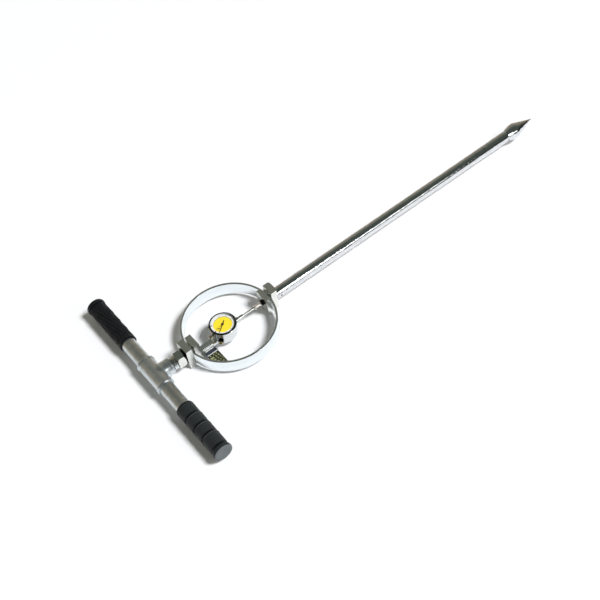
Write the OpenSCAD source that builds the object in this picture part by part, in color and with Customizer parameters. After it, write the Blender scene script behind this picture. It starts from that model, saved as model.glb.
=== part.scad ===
// Soil penetrometer with a proving ring, lying on its clamp blocks with the dial up.
// +X runs along the rod from the handle to the cone, Y along the handle, Z up from the floor.
// The origin is on the floor, under the middle of the whole tool.

/* [Handle] */
// Length of the handle over both grips
handle_l = 440; // [380:1:520]
// Outside diameter of the handle tubes
tube_d = 30; // [26:0.5:34]
// Wall of the handle tubes
tube_wall = 2.6; // [1.6:0.1:4]
// Length of one grip
grip_l = 124; // [95:1:140]
// Wall of a grip's sleeve
grip_wall = 3.2; // [2:0.1:5]
// Thickness of a grip's closed end
grip_end_t = 4; // [2:0.5:8]
// Length of the flange at a grip's end
grip_flange_l = 8; // [4:0.5:14]
// Height of the flange above the sleeve
grip_flange_h = 0.8; // [0.4:0.1:2]
// Width of one finger groove around a grip
grip_groove_w = 2; // [1:0.1:3]
// Depth of one finger groove
grip_groove_h = 0.7; // [0.3:0.1:1.4]
// From a grip's open end to its first finger groove
grip_groove_first = 31; // [15:0.5:34]
// Spacing of the finger grooves
grip_groove_pitch = 26; // [18:0.5:28]
// Number of finger grooves on a grip
grip_groove_count = 3; // [2:1:4]

/* [Tee and lock nut] */
// Length of the tee's run
tee_run_l = 76; // [64:1:92]
// Wall of the tee around the handle tubes
tee_wall = 3.2; // [2.5:0.1:6]
// Length of the bead at each end of the run
bead_l = 5; // [3:0.5:8]
// Height of the bead
bead_h = 0.8; // [0.5:0.1:2]
// Length of the stop between the two tubes
tee_stop_l = 20; // [12:1:28]
// From the handle's axis to the face of the branch
branch_reach = 34; // [30:0.5:42]
// Outside diameter of the branch
branch_d = 33; // [32.5:0.5:36]
// Outside diameter of the nipple's thread
nipple_d = 29; // [26:0.1:29.4]
// Wall of the nipple
nipple_wall = 6.7; // [6:0.1:7.6]
// Diameter of the nipple's end in the clamp block
nipple_end_d = 20; // [17:0.5:22]
// Length of the nipple inside the branch
nipple_in_l = 14; // [9:0.5:15]
// Pitch of the nipple's thread
thread_pitch = 2.4; // [1.5:0.1:4]
// Depth of the nipple's thread
thread_h = 1; // [0.4:0.1:1.4]
// Length of thread that shows between the branch and the nut
thread_show = 11; // [6:0.5:16]
// Width across the flats of the lock nut
nut_af = 32; // [31.5:0.5:36]
// Thickness of the lock nut
nut_t = 16; // [8:0.5:20]
// Turn of the lock nut about the rod's axis, from a flat facing up
nut_turn = 8; // [0:1:59]
// Thickness of the washer behind the nut
washer_t = 3; // [2:0.5:6]
// Outside diameter of the washer
washer_d = 32; // [31.5:0.5:36]

/* [Proving ring] */
// Outside diameter of the ring
ring_od = 190; // [170:1:210]
// Thickness of the ring's band
ring_t = 4.5; // [3:0.1:6]
// Width of the ring's band
ring_w = 29; // [22:0.5:30]
// From the rod's axis down to the middle of the ring's band
ring_drop = 3; // [0:0.5:4]

/* [Clamp blocks] */
// Height of the blocks, which stand on the floor
block_h = 52; // [51:0.5:60]
// Thickness of the handle's outer block
outer_t = 12; // [11:0.5:16]
// Width of the handle's outer block
outer_w = 32; // [28:0.5:38]
// Thickness of the handle's inner block
inner_t = 13.5; // [12:0.5:16]
// Width of the handle's inner block
inner_w = 31; // [30:0.5:36]
// Thickness of the rod's outer block
rod_outer_t = 14; // [13:0.5:18]
// Width of the rod's outer block
rod_outer_w = 28; // [24:0.5:34]
// Radius of the rod's outer block's upright edges
rod_outer_r = 5; // [2:0.5:7]
// Thickness of the rod's inner block
rod_inner_t = 11; // [10:0.5:14]
// Height of the rod's inner block
rod_inner_h = 45; // [45:0.5:51]
// Width of the rod's inner block
rod_inner_w = 33; // [28:0.5:38]
// Diameter of the clamp screws
screw_d = 5; // [4:0.5:5.5]
// Diameter of a clamp screw's head
screw_head_d = 7.6; // [7:0.1:8.4]
// Height of a clamp screw's head
screw_head_h = 5; // [3:0.5:6]
// Gap between the ring's band and a clamp screw
screw_gap = 1; // [0.3:0.1:1.5]
// Length of a clamp screw's thread in the outer block
screw_in_l = 9; // [6:0.5:10]
// Depth of the nipple's thread in the outer block
nipple_seat_l = 8; // [6:0.5:9]

/* [Rod and cone] */
// Diameter of the rod
rod_d = 23.5; // [17:0.5:26]
// Length of the rod between the outer block and the cone holder
rod_l = 568; // [450:1:700]
// Diameter of the rod's threaded ends
rod_end_d = 14; // [10:0.5:15]
// Length of the rod's threaded ends
rod_end_l = 10; // [7:0.5:11]
// Spacing of the depth marks
mark_pitch = 100; // [80:1:120]
// Number of depth marks
mark_count = 5; // [2:1:5]
// From the cone's tip to the nearest mark
mark_first = 191; // [185:1:200]
// Width of a depth mark
mark_w = 1.6; // [0.8:0.1:3]
// Depth of a depth mark
mark_h = 0.5; // [0.2:0.05:1]
// Diameter of the tommy-bar hole
tommy_d = 4; // [2:0.5:6]
// From the outer block to the tommy-bar hole
tommy_x = 9; // [6:0.5:15]
// Diameter of the cone holder
holder_d = 24; // [20:0.5:27]
// Length of the cone holder
holder_l = 52; // [40:1:60]
// Width of the chamfer at the holder's cone end
holder_edge = 1.5; // [0.5:0.1:1.9]
// Diameter of the cone's neck
neck_d = 20; // [15:0.5:20.5]
// Length of the cone's neck
neck_l = 3; // [1:0.5:6]
// Diameter of the shoulder where the cone's rear taper starts
shoulder_d = 23; // [21:0.5:25]
// Diameter of the cone's base
cone_d = 33.5; // [26:0.1:38]
// Length of the taper behind the cone's base
cone_rear_l = 25; // [15:0.5:32]
// Width of the cone's base land
cone_land_l = 1.5; // [0.5:0.1:4]
// Length of the cone's point
cone_front_l = 50.5; // [40:0.5:60]
// Diameter of the cone's stud
stud_d = 11; // [8:0.5:13]
// Length of the cone's stud
stud_l = 18; // [12:0.5:24]

/* [Gauge bracket] */
// From the handle's inner block to the gauge's centre
gauge_reach = 63.5; // [60:0.5:70]
// Width of the bracket's arm
arm_w = 16; // [12:0.5:16]
// Thickness of the bracket's arm
arm_t = 7; // [7:0.5:8]
// Length of the arm past the gauge's centre
arm_past = 14; // [8:0.5:24]
// Width of the chamfer along the arm's upper edges
arm_edge = 2.5; // [0.5:0.1:3]
// Thickness of the bracket's foot
foot_t = 6; // [4:0.5:8]
// Diameter of the bracket's screws
foot_screw_d = 4; // [3:0.5:4.5]
// Diameter of a bracket screw's head
foot_head_d = 5.4; // [5:0.1:5.6]
// Height of a bracket screw's head
foot_head_h = 3.5; // [2:0.5:5]
// Length of a bracket screw in the block
foot_screw_l = 8; // [5:0.5:9]
// Width of the rating plate along the rod
plate_w = 24; // [16:0.5:25]
// Length of the rating plate across the ring
plate_l = 58; // [40:0.5:59]
// Thickness of the rating plate
plate_t = 1; // [0.6:0.1:1.6]
// Corner cut off the rating plate beside the ring
plate_cut = 10; // [9:0.5:14]
// Diameter of the plate's rivets
rivet_d = 2; // [1.6:0.1:2.4]
// Length of a rivet's pin
rivet_l = 4; // [2.5:0.1:4.4]
// Diameter of a rivet's head
rivet_head_d = 3.4; // [2.6:0.1:3.6]
// Height of a rivet's head
rivet_head_h = 0.7; // [0.4:0.1:1.2]
// Diameter of the gauge's fixing screw
fix_d = 5; // [4:0.5:6]
// Diameter of the fixing screw's head
fix_head_d = 9; // [8:0.5:10]
// Height of the fixing screw's head
fix_head_h = 3; // [2:0.5:4]

/* [Dial gauge] */
// Diameter of the gauge's case
case_d = 52; // [50:0.5:56]
// Wall of the case around the movement
case_wall = 2; // [1.5:0.1:2.5]
// From the plunger's axis down to the back of the case
case_low = 8.5; // [7.5:0.1:9]
// From the plunger's axis up to the front of the case
case_high = 13; // [12.7:0.1:14]
// Thickness of the back cover
cover_t = 2.5; // [2:0.1:3.2]
// Radial thickness of the bezel outside the case
bezel_wall = 1.5; // [1:0.1:2.5]
// Height of the bezel's skirt over the case
skirt_l = 8.5; // [6:0.1:8.8]
// From the front of the case to the top of the bezel
bezel_h = 4.5; // [4.4:0.1:8]
// Bevel at the top of the bezel
bezel_bevel = 1.6; // [0.5:0.1:2]
// Thickness of the crystal
crystal_t = 0.8; // [0.6:0.05:0.9]
// Diameter of the yellow dial face
face_d = 36.6; // [34:0.1:38]
// Thickness of the dial face and of the scale ring
face_t = 0.5; // [0.3:0.05:0.6]
// Diameter of the stem
stem_d = 8; // [7:0.5:9]
// Share of the way from the case to the contact point that the stem covers
stem_share = 0.46; // [0.3:0.01:0.7]
// Diameter of the stem's collar
collar_d = 11; // [10:0.5:13]
// Length of the stem's collar
collar_l = 5; // [3:0.5:7]
// Diameter of the plunger
plunger_d = 4; // [3.6:0.1:4.4]
// Length of the contact point
contact_l = 6; // [4:0.5:8]
// Diameter of the contact point
contact_d = 6.4; // [5:0.1:7]
// Outside diameter of the dust cap
cap_d = 9.5; // [9:0.1:12]
// Length of the dust cap outside the case
cap_l = 8.5; // [8.5:0.5:12]
// From the rod's inner block to the face of the anvil
anvil_reach = 20; // [12:0.5:22]
// Diameter of the anvil screw
anvil_d = 8; // [6:0.5:9]
// Diameter of the anvil's head
anvil_head_d = 10.5; // [9:0.5:13]
// Thickness of the anvil's head
anvil_head_t = 2.4; // [1.5:0.1:4]
// Width of the chamfer round the anvil's face
anvil_edge = 0.9; // [0.3:0.1:1.2]
// Width across the flats of the anvil's lock nut
anvil_nut_af = 11.5; // [11:0.5:16]
// Thickness of the anvil's lock nut
anvil_nut_t = 4; // [3:0.5:7]

/* [Hidden] */
// Overrun of every cut past the face that it opens
over = 1;
// Radial gap of a seated or threaded fit
fit = 0.03;
// Radial gap of a running fit
run = 0.05;
// Gap between pieces that face each other but do not touch
gap = 0.3;
// Gap between the plunger's contact point and the anvil
touch = 0.03;
$fn = 64;

// Handle
grip_d = tube_d + 2 * grip_wall;
grip_flange_d = grip_d + 2 * grip_flange_h;
grip_edge_r = grip_wall / 2;
grip_y0 = handle_l / 2 - grip_l;
tube_end_y = handle_l / 2 - grip_end_t;
tee_d = tube_d + 2 * tee_wall;
bead_d = tee_d + 2 * bead_h;
tube_bore_d = tube_d - 2 * tube_wall;

// Stations along the rod, measured from the handle's axis
nut_x = branch_reach + thread_show;
washer_x = nut_x + nut_t;
outer_x = washer_x + washer_t;
ring_x0 = outer_x + outer_t;
ring_cx = ring_x0 + ring_od / 2;
ring_x1 = ring_x0 + ring_od;
ring_id = ring_od - 2 * ring_t;
inner_face_x = ring_x0 + ring_t + inner_t;
gauge_x = inner_face_x + gauge_reach;
rod_inner_x = ring_x1 - ring_t - rod_inner_t;
anvil_x = rod_inner_x - anvil_reach;
contact_reach = anvil_x - touch - gauge_x;
stem_l = stem_share * (contact_reach - contact_l - case_d / 2);
rod_x = ring_x1 + rod_outer_t;
holder_x = rod_x + rod_l;
neck_x = holder_x + holder_l;
cone_base_x = neck_x + neck_l + cone_rear_l;
tip_x = cone_base_x + cone_land_l + cone_front_l;
nipple_x = branch_reach - nipple_in_l;

// Place of the whole tool over its origin
axis_h = block_h / 2;
middle_x = (tip_x - max(grip_flange_d, bead_d) / 2) / 2;

// Clamp screws run just outside the ring's band
screw_z = ring_w / 2 + screw_gap + screw_d / 2;
screw_l = ring_t + screw_in_l;

// Gauge heights, measured from the plunger's axis
case_r = case_d / 2;
ledge_r = case_r - 2 * case_wall;
room_r = case_r - case_wall;
cover_z = -case_low - cover_t;
arm_z = cover_z - arm_t;
plate_gap = 0.2;
bridge_t = 1;
bridge_z = plunger_d / 2 + plate_gap;
web_t = 1.5;
web_z = case_high - face_t - web_t;
face_z = web_z + web_t;
bezel_r = case_r + bezel_wall;
bezel_z = case_high - skirt_l;
bezel_top = case_high + bezel_h;
bezel_lip_w = 4;
scale_r1 = room_r + case_wall / 4;
scale_r0 = face_d / 2 + gap;
scale_z = case_high + 2 * gap;
crystal_z = bezel_top - 2 * crystal_t;
crystal_r = scale_r1 + gap;
marker_t = 0.5;
marker_hook_l = 2.4;
marker_r0 = 20.5;
marker_angle = 4;
marker_low_at = 199;
marker_high_at = 156;

// Gear train: one turn of the first arbor for 10 mm of plunger, ten turns of the centre arbor
rack_lead = 10;
rack_teeth = 16;
wheel_teeth = 100;
pinion_teeth = 10;
gear_module = 0.2;
addendum = 0.2;
dedendum = 0.25;
rack_pitch = rack_lead / rack_teeth;
rack_pinion_r = rack_lead / (2 * PI);
wheel_r = gear_module * wheel_teeth / 2;
pinion_r = gear_module * pinion_teeth / 2;
rack_line = plunger_d / 4;
arbor_y = -rack_line - rack_pinion_r;
arbor_x = -sqrt(pow(wheel_r + pinion_r, 2) - pow(arbor_y, 2));
mesh_angle = atan2(arbor_y, arbor_x);
tooth_shares = [-0.25, -0.11, 0.11, 0.25];
rack_run = 7;
arbor_d = 1.2;
centre_d = 0.8;
wheel_t = 1;
wheel_z = bridge_z + bridge_t + plate_gap;
rack_pinion_t = 3.2;
arbor_boss_d = 4.4;
arbor_boss_z = -plunger_d / 2 - bridge_t;
arbor_foot_z = arbor_boss_z - 2 * arbor_d;

// Hands
hand_t = 0.4;
counter_z = face_z + face_t + 2 * gap;
counter_l = 4.2;
counter_w = 1;
counter_hub_d = 2.2;
hand_z = scale_z + face_t + 3 * gap;
hand_l = 21;
hand_tail_l = 9;
hand_w = 1.8;
hand_hub_d = 4.4;
hand_at = 217;
counter_at = 160;

// Return spring beside the plunger
spring_y = 9;
spring_pin_x = -6;
spring_pin_d = 1.2;
post_x = 17;
post_d = 1.6;
spring_wire = 0.5;
spring_d = 2.6;
spring_turns = 9;
spring_sides = 6;
spring_steps = 8;

// Plunger ends
plunger_tail = case_r + 3;
cap_bore_l = cap_l - case_wall;
contact_ball_share = 0.3;

// Bezel clamp on the case
clamp_at = 225;
clamp_w = 9;
clamp_reach = 5;
clamp_z0 = -3;
clamp_z1 = bezel_z - gap;
clamp_screw_d = 3;
clamp_head_d = 6.4;
clamp_rim_d = 9;
clamp_head_l = 4.6;

// Cover screws
cover_screw_d = 2;
cover_head_d = 3.6;
cover_head_h = 1.2;
cover_screw_l = 5;
cover_screw_r = (ledge_r + case_r) / 2 - cover_screw_d / 4;
boss_d = 9;
boss_h = 2.5;

// Bracket details
foot_w = inner_w;
foot_high_z = cover_z + 3 * plate_t;
foot_screw_y = (arm_w / 2 + foot_w / 2) / 2;
foot_screw_z = cover_z - foot_head_d / 2;
rebate_w = 4;
plate_x = inner_face_x + foot_t + plate_t;
plate_y = -arm_w / 2 + rebate_w;
rivet_shares = [0.25, 0.75];

// Puts a piece that is drawn on the rod's axis over the floor
module on_floor() {
    translate([-middle_x, 0, axis_h]) children();
}

// Draws a piece from the gauge's centre
module in_gauge() {
    on_floor() translate([gauge_x, 0, 0]) children();
}

// Turns a piece drawn along Z to run along X from a station
module along_x(x) {
    translate([x, 0, 0]) rotate([0, 90, 0]) children();
}

// Turns a piece drawn along Z to run along Y, to the side given as 1 or -1
module along_y(side) {
    rotate([-90 * side, 0, 0]) children();
}

// A block centred on the axis, from station x with thickness t
module axis_block(x, t, w, h) {
    translate([x, -w / 2, -h / 2]) cube([t, w, h]);
}

// The two clamp screw places above and below the ring
module at_screws() {
    for (side = [-1, 1]) translate([0, 0, side * screw_z - ring_drop]) children();
}

module tube(d, bore, l) {
    difference() {
        cylinder(d = d, h = l);
        translate([0, 0, -over]) cylinder(d = bore, h = l + 2 * over);
    }
}

function polar(r, a) = [r * cos(a), r * sin(a)];

// A gear's outline with plain trapezoid teeth, the first tooth centred at angle a
function gear_points(teeth, r, a) = [
    for (i = [0:teeth - 1], k = [0:3])
        polar(k == 0 || k == 3 ? r - dedendum : r + addendum, a + 360 / teeth * (i + tooth_shares[k]))
];

module gear(teeth, r, t, a) {
    linear_extrude(t) polygon(gear_points(teeth, r, a));
}

// One grip, drawn along Z from its open end
module grip() {
    difference() {
        rotate_extrude() polygon([
            [0, 0],
            [grip_d / 2 - grip_edge_r, 0],
            [grip_d / 2, grip_edge_r],
            [grip_d / 2, grip_l - grip_flange_l],
            [grip_flange_d / 2, grip_l - grip_flange_l + grip_flange_h],
            [grip_flange_d / 2, grip_l - grip_edge_r],
            [grip_flange_d / 2 - grip_edge_r, grip_l],
            [0, grip_l]
        ]);
        translate([0, 0, -over]) cylinder(d = tube_d + 2 * fit, h = grip_l - grip_end_t + over);
        for (i = [0:grip_groove_count - 1])
            translate([0, 0, grip_groove_first + i * grip_groove_pitch])
                tube(grip_flange_d + over, grip_d - 2 * grip_groove_h, grip_groove_w);
    }
}

module grip_left() {
    color("#1c1d20") on_floor() along_y(1) translate([0, 0, grip_y0]) grip();
}

module grip_right() {
    color("#1c1d20") on_floor() along_y(-1) translate([0, 0, grip_y0]) grip();
}

// One handle tube, from the tee's stop to the grip's closed end
module handle_tube() {
    translate([0, 0, tee_stop_l / 2]) tube(tube_d, tube_bore_d, tube_end_y - tee_stop_l / 2);
}

module handle_tube_left() {
    color("#8d918f") on_floor() along_y(1) handle_tube();
}

module handle_tube_right() {
    color("#8d918f") on_floor() along_y(-1) handle_tube();
}

module pipe_tee() {
    color("#9a9c9b") on_floor() difference() {
        union() {
            for (side = [-1, 1]) along_y(side) {
                cylinder(d = tee_d, h = tee_run_l / 2);
                translate([0, 0, tee_run_l / 2 - bead_l]) cylinder(d = bead_d, h = bead_l);
            }
            along_x(0) cylinder(d = branch_d, h = branch_reach);
        }
        for (side = [-1, 1]) along_y(side) {
            translate([0, 0, -over]) cylinder(d = tube_bore_d, h = tee_run_l / 2 + 2 * over);
            translate([0, 0, tee_stop_l / 2]) cylinder(d = tube_d + 2 * fit, h = tee_run_l / 2);
        }
        along_x(nipple_x) cylinder(d = nipple_d + 2 * fit, h = nipple_in_l + over);
        along_x(0) cylinder(d = nipple_d - 2 * nipple_wall, h = branch_reach);
    }
}

// The nipple's thread is a row of grooves where it shows, and its end is turned down
module nipple() {
    bore = nipple_d - 2 * nipple_wall;
    groove_count = floor((thread_show - thread_pitch / 2) / thread_pitch);
    color("#a9aca9") on_floor() along_x(nipple_x) difference() {
        union() {
            cylinder(d = nipple_d, h = outer_x - nipple_x);
            cylinder(d = nipple_end_d, h = outer_x - nipple_x + nipple_seat_l);
        }
        translate([0, 0, -over]) cylinder(d = bore, h = outer_x - nipple_x + nipple_seat_l + 2 * over);
        for (i = [0:groove_count - 1])
            translate([0, 0, nipple_in_l + (i + 1 / 2) * thread_pitch])
                tube(nipple_d + over, nipple_d - 2 * thread_h, thread_pitch / 2);
    }
}

// A hexagon nut along Z, with a flat up after it is turned along X, and its corners turned off
module hex_nut(af, bore, t) {
    corner_d = af / cos(30);
    difference() {
        intersection() {
            rotate([0, 0, 30]) cylinder(d = corner_d, h = t, $fn = 6);
            union() {
                cylinder(d1 = af, d2 = af + 2 * t / 4, h = t / 4);
                translate([0, 0, t / 4]) cylinder(d = af + 2 * t / 4, h = t / 2);
                translate([0, 0, 3 * t / 4]) cylinder(d1 = af + 2 * t / 4, d2 = af, h = t / 4);
            }
        }
        translate([0, 0, -over]) cylinder(d = bore, h = t + 2 * over);
    }
}

module lock_nut() {
    color("#8b8c87") on_floor() along_x(nut_x) rotate([0, 0, nut_turn])
        hex_nut(nut_af, nipple_d + 2 * fit, nut_t);
}

module spring_washer() {
    color("#161718") on_floor() along_x(washer_x) tube(washer_d, nipple_d + 2 * fit, washer_t);
}

// Saddle that seats an outer block on the outside of the ring
module saddle() {
    translate([ring_cx, 0, -block_h]) cylinder(d = ring_od + 2 * fit, h = 2 * block_h, $fn = 128);
}

// Round form that seats an inner block against the inside of the ring
module inside_ring() {
    translate([ring_cx, 0, -block_h]) cylinder(d = ring_id - 2 * fit, h = 2 * block_h, $fn = 128);
}

module handle_outer_block() {
    color("#77786f") on_floor() difference() {
        axis_block(outer_x, outer_t + over, outer_w, block_h);
        saddle();
        along_x(outer_x - over) cylinder(d = nipple_end_d + 2 * fit, h = nipple_seat_l + over);
        at_screws() along_x(ring_x0 - screw_in_l) cylinder(d = screw_d + 2 * fit, h = outer_t);
    }
}

// Holes for the clamp screws, with their heads sunk from station x towards side 1 or -1
module screw_holes(x, side) {
    at_screws() translate([x, 0, 0]) rotate([0, 90 * side, 0]) {
        translate([0, 0, -over]) cylinder(d = screw_head_d + 2 * fit, h = screw_head_h + over);
        cylinder(d = screw_d + 2 * fit, h = block_h);
    }
}

module handle_inner_block() {
    color("#6f756f") on_floor() difference() {
        intersection() {
            axis_block(ring_x0, ring_t + inner_t, inner_w, block_h);
            inside_ring();
        }
        screw_holes(inner_face_x, -1);
        for (side = [-1, 1]) translate([0, side * foot_screw_y, foot_screw_z])
            along_x(inner_face_x - foot_screw_l)
                cylinder(d = foot_screw_d + 2 * fit, h = foot_screw_l + over);
    }
}

// A cap screw along Z with its head at the start, and a socket in the head
module cap_screw(d, head_d, head_h, l) {
    difference() {
        union() {
            cylinder(d = head_d, h = head_h);
            cylinder(d = d, h = head_h + l);
        }
        translate([0, 0, -over]) cylinder(d = d, h = head_h / 2 + over, $fn = 6);
    }
}

module handle_clamp_screws() {
    color("#b9bcbe") on_floor() at_screws() translate([inner_face_x, 0, 0]) rotate([0, -90, 0])
        cap_screw(screw_d, screw_head_d, screw_head_h, inner_t - screw_head_h + screw_l - gap);
}

module proving_ring() {
    color("#d4d8da") on_floor() translate([ring_cx, 0, -ring_drop - ring_w / 2])
        tube(ring_od, ring_id, ring_w, $fn = 128);
}

// Section of the bracket's arm: a flat bar with its upper edges chamfered
module arm_outline() {
    polygon([
        [-arm_w / 2, 0],
        [arm_w / 2, 0],
        [arm_w / 2, arm_t - arm_edge],
        [arm_w / 2 - arm_edge, arm_t],
        [arm_edge - arm_w / 2, arm_t],
        [-arm_w / 2, arm_t - arm_edge]
    ]);
}

// L bar: its foot is screwed to the inner block and its arm runs under the gauge
module gauge_bracket() {
    color("#9aa2a6") on_floor() difference() {
        union() {
            translate([inner_face_x, -foot_w / 2, arm_z]) cube([foot_t, foot_w, foot_high_z - arm_z]);
            translate([inner_face_x, 0, arm_z]) rotate([90, 0, 90])
                linear_extrude(gauge_reach + arm_past) arm_outline();
        }
        for (side = [-1, 1]) translate([0, side * foot_screw_y, foot_screw_z]) along_x(inner_face_x - over)
            cylinder(d = foot_screw_d + 2 * fit, h = foot_t + 2 * over);
        translate([gauge_x, 0, arm_z - over]) cylinder(d = fix_d + 2 * fit, h = arm_t + 2 * over);
        translate([plate_x - gap, -arm_w / 2 - over, arm_z - over])
            cube([plate_w + 2 * gap, rebate_w + over + gap, plate_t + over]);
        at_rivets() translate([0, 0, arm_z - over])
            cylinder(d = rivet_d + 2 * fit, h = rivet_l + gap + over);
    }
}

module bracket_screws() {
    color("#b9bcbe") on_floor() for (side = [-1, 1])
        translate([inner_face_x + foot_t + foot_head_h, side * foot_screw_y, foot_screw_z])
            rotate([0, -90, 0])
                cap_screw(foot_screw_d, foot_head_d, foot_head_h, foot_t + foot_screw_l - gap);
}

// The two rivet places along the rating plate's inner edge
module at_rivets() {
    for (share = rivet_shares)
        translate([plate_x + share * plate_w, plate_y - rebate_w / 2, 0]) children();
}

module rating_plate() {
    color("#20231f") on_floor() difference() {
        translate([plate_x, plate_y, arm_z]) linear_extrude(plate_t) polygon([
            [0, 0],
            [plate_w, 0],
            [plate_w, -plate_l],
            [plate_cut, -plate_l],
            [0, plate_cut - plate_l]
        ]);
        at_rivets() translate([0, 0, arm_z - over]) cylinder(d = rivet_d + 2 * fit, h = rivet_l);
    }
}

module plate_rivets() {
    color("#c9ccce") on_floor() at_rivets() {
        translate([0, 0, arm_z]) cylinder(d = rivet_d, h = rivet_l);
        translate([0, 0, arm_z - rivet_head_h]) cylinder(d1 = rivet_d, d2 = rivet_head_d, h = rivet_head_h);
    }
}

module gauge_fixing_screw() {
    color("#b9bcbe") in_gauge() translate([0, 0, arm_z - fix_head_h])
        cap_screw(fix_d, fix_head_d, fix_head_h, arm_t + cover_t + boss_h / 2);
}

// Places of the back cover's screws
module at_cover_screws() {
    for (i = [0:3]) rotate([0, 0, 45 + 90 * i]) translate([cover_screw_r, 0, 0]) children();
}

// Cup with a ledge for the movement plate and a web that carries the dial face
module gauge_case() {
    color("#c7cacb") in_gauge() difference() {
        rotate_extrude() polygon([
            [0, web_z],
            [room_r, web_z],
            [room_r, bridge_z],
            [ledge_r, bridge_z],
            [ledge_r, -case_low],
            [case_r, -case_low],
            [case_r, case_high],
            [room_r, case_high],
            [room_r, face_z],
            [0, face_z]
        ]);
        along_x(0) cylinder(d = stem_d + 2 * fit, h = case_d);
        along_x(-case_d) cylinder(d = stem_d + 2 * fit, h = case_d);
        translate([0, 0, web_z - over]) cylinder(d = centre_d + 2 * run, h = web_t + 2 * over);
        translate([arbor_x, arbor_y, web_z - over]) cylinder(d = arbor_d + 2 * run, h = web_t + 2 * over);
        at_cover_screws() translate([0, 0, -case_low - over])
            cylinder(d = cover_screw_d + 2 * fit, h = cover_screw_l + over);
    }
}

// Flat back with a boss for the fixing screw and a bearing for the first arbor
module back_cover() {
    color("#b4b8ba") in_gauge() difference() {
        union() {
            translate([0, 0, cover_z]) cylinder(r = case_r - gap, h = cover_t);
            translate([0, 0, -case_low - over]) cylinder(d = boss_d, h = boss_h + over);
            translate([arbor_x, arbor_y, -case_low - over])
                cylinder(d = arbor_boss_d, h = arbor_boss_z + case_low + over);
        }
        translate([0, 0, cover_z - over])
            cylinder(d = fix_d + 2 * fit, h = over + cover_t + 3 * boss_h / 4);
        translate([arbor_x, arbor_y, arbor_foot_z - run]) cylinder(d = arbor_d + 2 * run, h = case_low);
        at_cover_screws() {
            translate([0, 0, cover_z - over]) cylinder(d = cover_head_d + 2 * fit, h = over + cover_head_h);
            translate([0, 0, cover_z]) cylinder(d = cover_screw_d + 2 * fit, h = cover_t + over);
        }
    }
}

module cover_screws() {
    color("#8f9294") in_gauge() at_cover_screws() translate([0, 0, cover_z])
        cap_screw(cover_screw_d, cover_head_d, cover_head_h, cover_t - cover_head_h + cover_screw_l - gap);
}

module gauge_stem() {
    color("#c9cccd") in_gauge() difference() {
        union() {
            along_x(room_r) cylinder(d = stem_d, h = case_r - room_r + stem_l);
            along_x(bezel_r + gap) cylinder(d = collar_d, h = collar_l);
        }
        along_x(0) cylinder(d = plunger_d + 2 * run, h = 2 * contact_reach);
    }
}

module dust_cap() {
    color("#b98b3e") in_gauge() difference() {
        union() {
            along_x(-case_r - cap_l) cylinder(d = stem_d, h = cap_l + case_r - room_r);
            along_x(-case_r - cap_l) cylinder(d = cap_d, h = cap_l + case_r - bezel_r - gap);
        }
        along_x(-case_r - cap_bore_l) cylinder(d = plunger_d + 2 * run, h = case_r);
    }
}

// Bridge over the plunger that holds the arbors, with a post for the spring
module movement_plate() {
    color("#b8974a") in_gauge() difference() {
        union() {
            translate([0, 0, bridge_z]) cylinder(r = room_r - gap, h = bridge_t);
            translate([post_x, spring_y, -spring_d / 2])
                cylinder(d = post_d, h = spring_d / 2 + bridge_z + bridge_t / 2);
        }
        translate([0, 0, bridge_z - over]) cylinder(d = centre_d + 2 * run, h = bridge_t + 2 * over);
        translate([arbor_x, arbor_y, bridge_z - over])
            cylinder(d = arbor_d + 2 * run, h = bridge_t + 2 * over);
    }
}

module dial_face() {
    color("#f0d730") in_gauge() difference() {
        translate([0, 0, face_z]) cylinder(d = face_d, h = face_t);
        translate([0, 0, face_z - over]) cylinder(d = hand_hub_d / 2, h = face_t + 2 * over);
        translate([arbor_x, arbor_y, face_z - over])
            cylinder(d = counter_hub_d, h = face_t + 2 * over);
    }
}

// Coil from the plunger's pin to the post, swept as one tube of triangles
spring_x0 = spring_pin_x + spring_pin_d / 2 + gap / 2;
spring_x1 = post_x - post_d / 2 - gap / 2;
spring_rings = spring_turns * spring_steps;
spring_coil_r = (spring_d - spring_wire) / 2;
spring_pitch = (spring_x1 - spring_x0 - spring_wire) / spring_turns;

function coil_point(i, k) =
    let (
        a = 360 * i / spring_steps,
        b = 360 * k / spring_sides,
        r = spring_coil_r + spring_wire / 2 * cos(b)
    ) [
        spring_x0 + spring_wire / 2 + spring_pitch * i / spring_steps + spring_wire / 2 * sin(b),
        spring_y + r * cos(a),
        r * sin(a)
    ];

function coil_index(i, k) = i * spring_sides + k % spring_sides;

module return_spring() {
    points = [for (i = [0:spring_rings], k = [0:spring_sides - 1]) coil_point(i, k)];
    sides = [
        for (i = [0:spring_rings - 1], k = [0:spring_sides - 1], half = [0, 1])
            half == 0
                ? [coil_index(i, k), coil_index(i, k + 1), coil_index(i + 1, k)]
                : [coil_index(i, k + 1), coil_index(i + 1, k + 1), coil_index(i + 1, k)]
    ];
    ends = [
        for (k = [1:spring_sides - 2], last = [0, 1])
            last == 0
                ? [coil_index(0, 0), coil_index(0, k + 1), coil_index(0, k)]
                : [
                    coil_index(spring_rings, 0),
                    coil_index(spring_rings, k),
                    coil_index(spring_rings, k + 1)
                ]
    ];
    color("#7d8285") in_gauge() polyhedron(points, concat(sides, ends));
}

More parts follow.
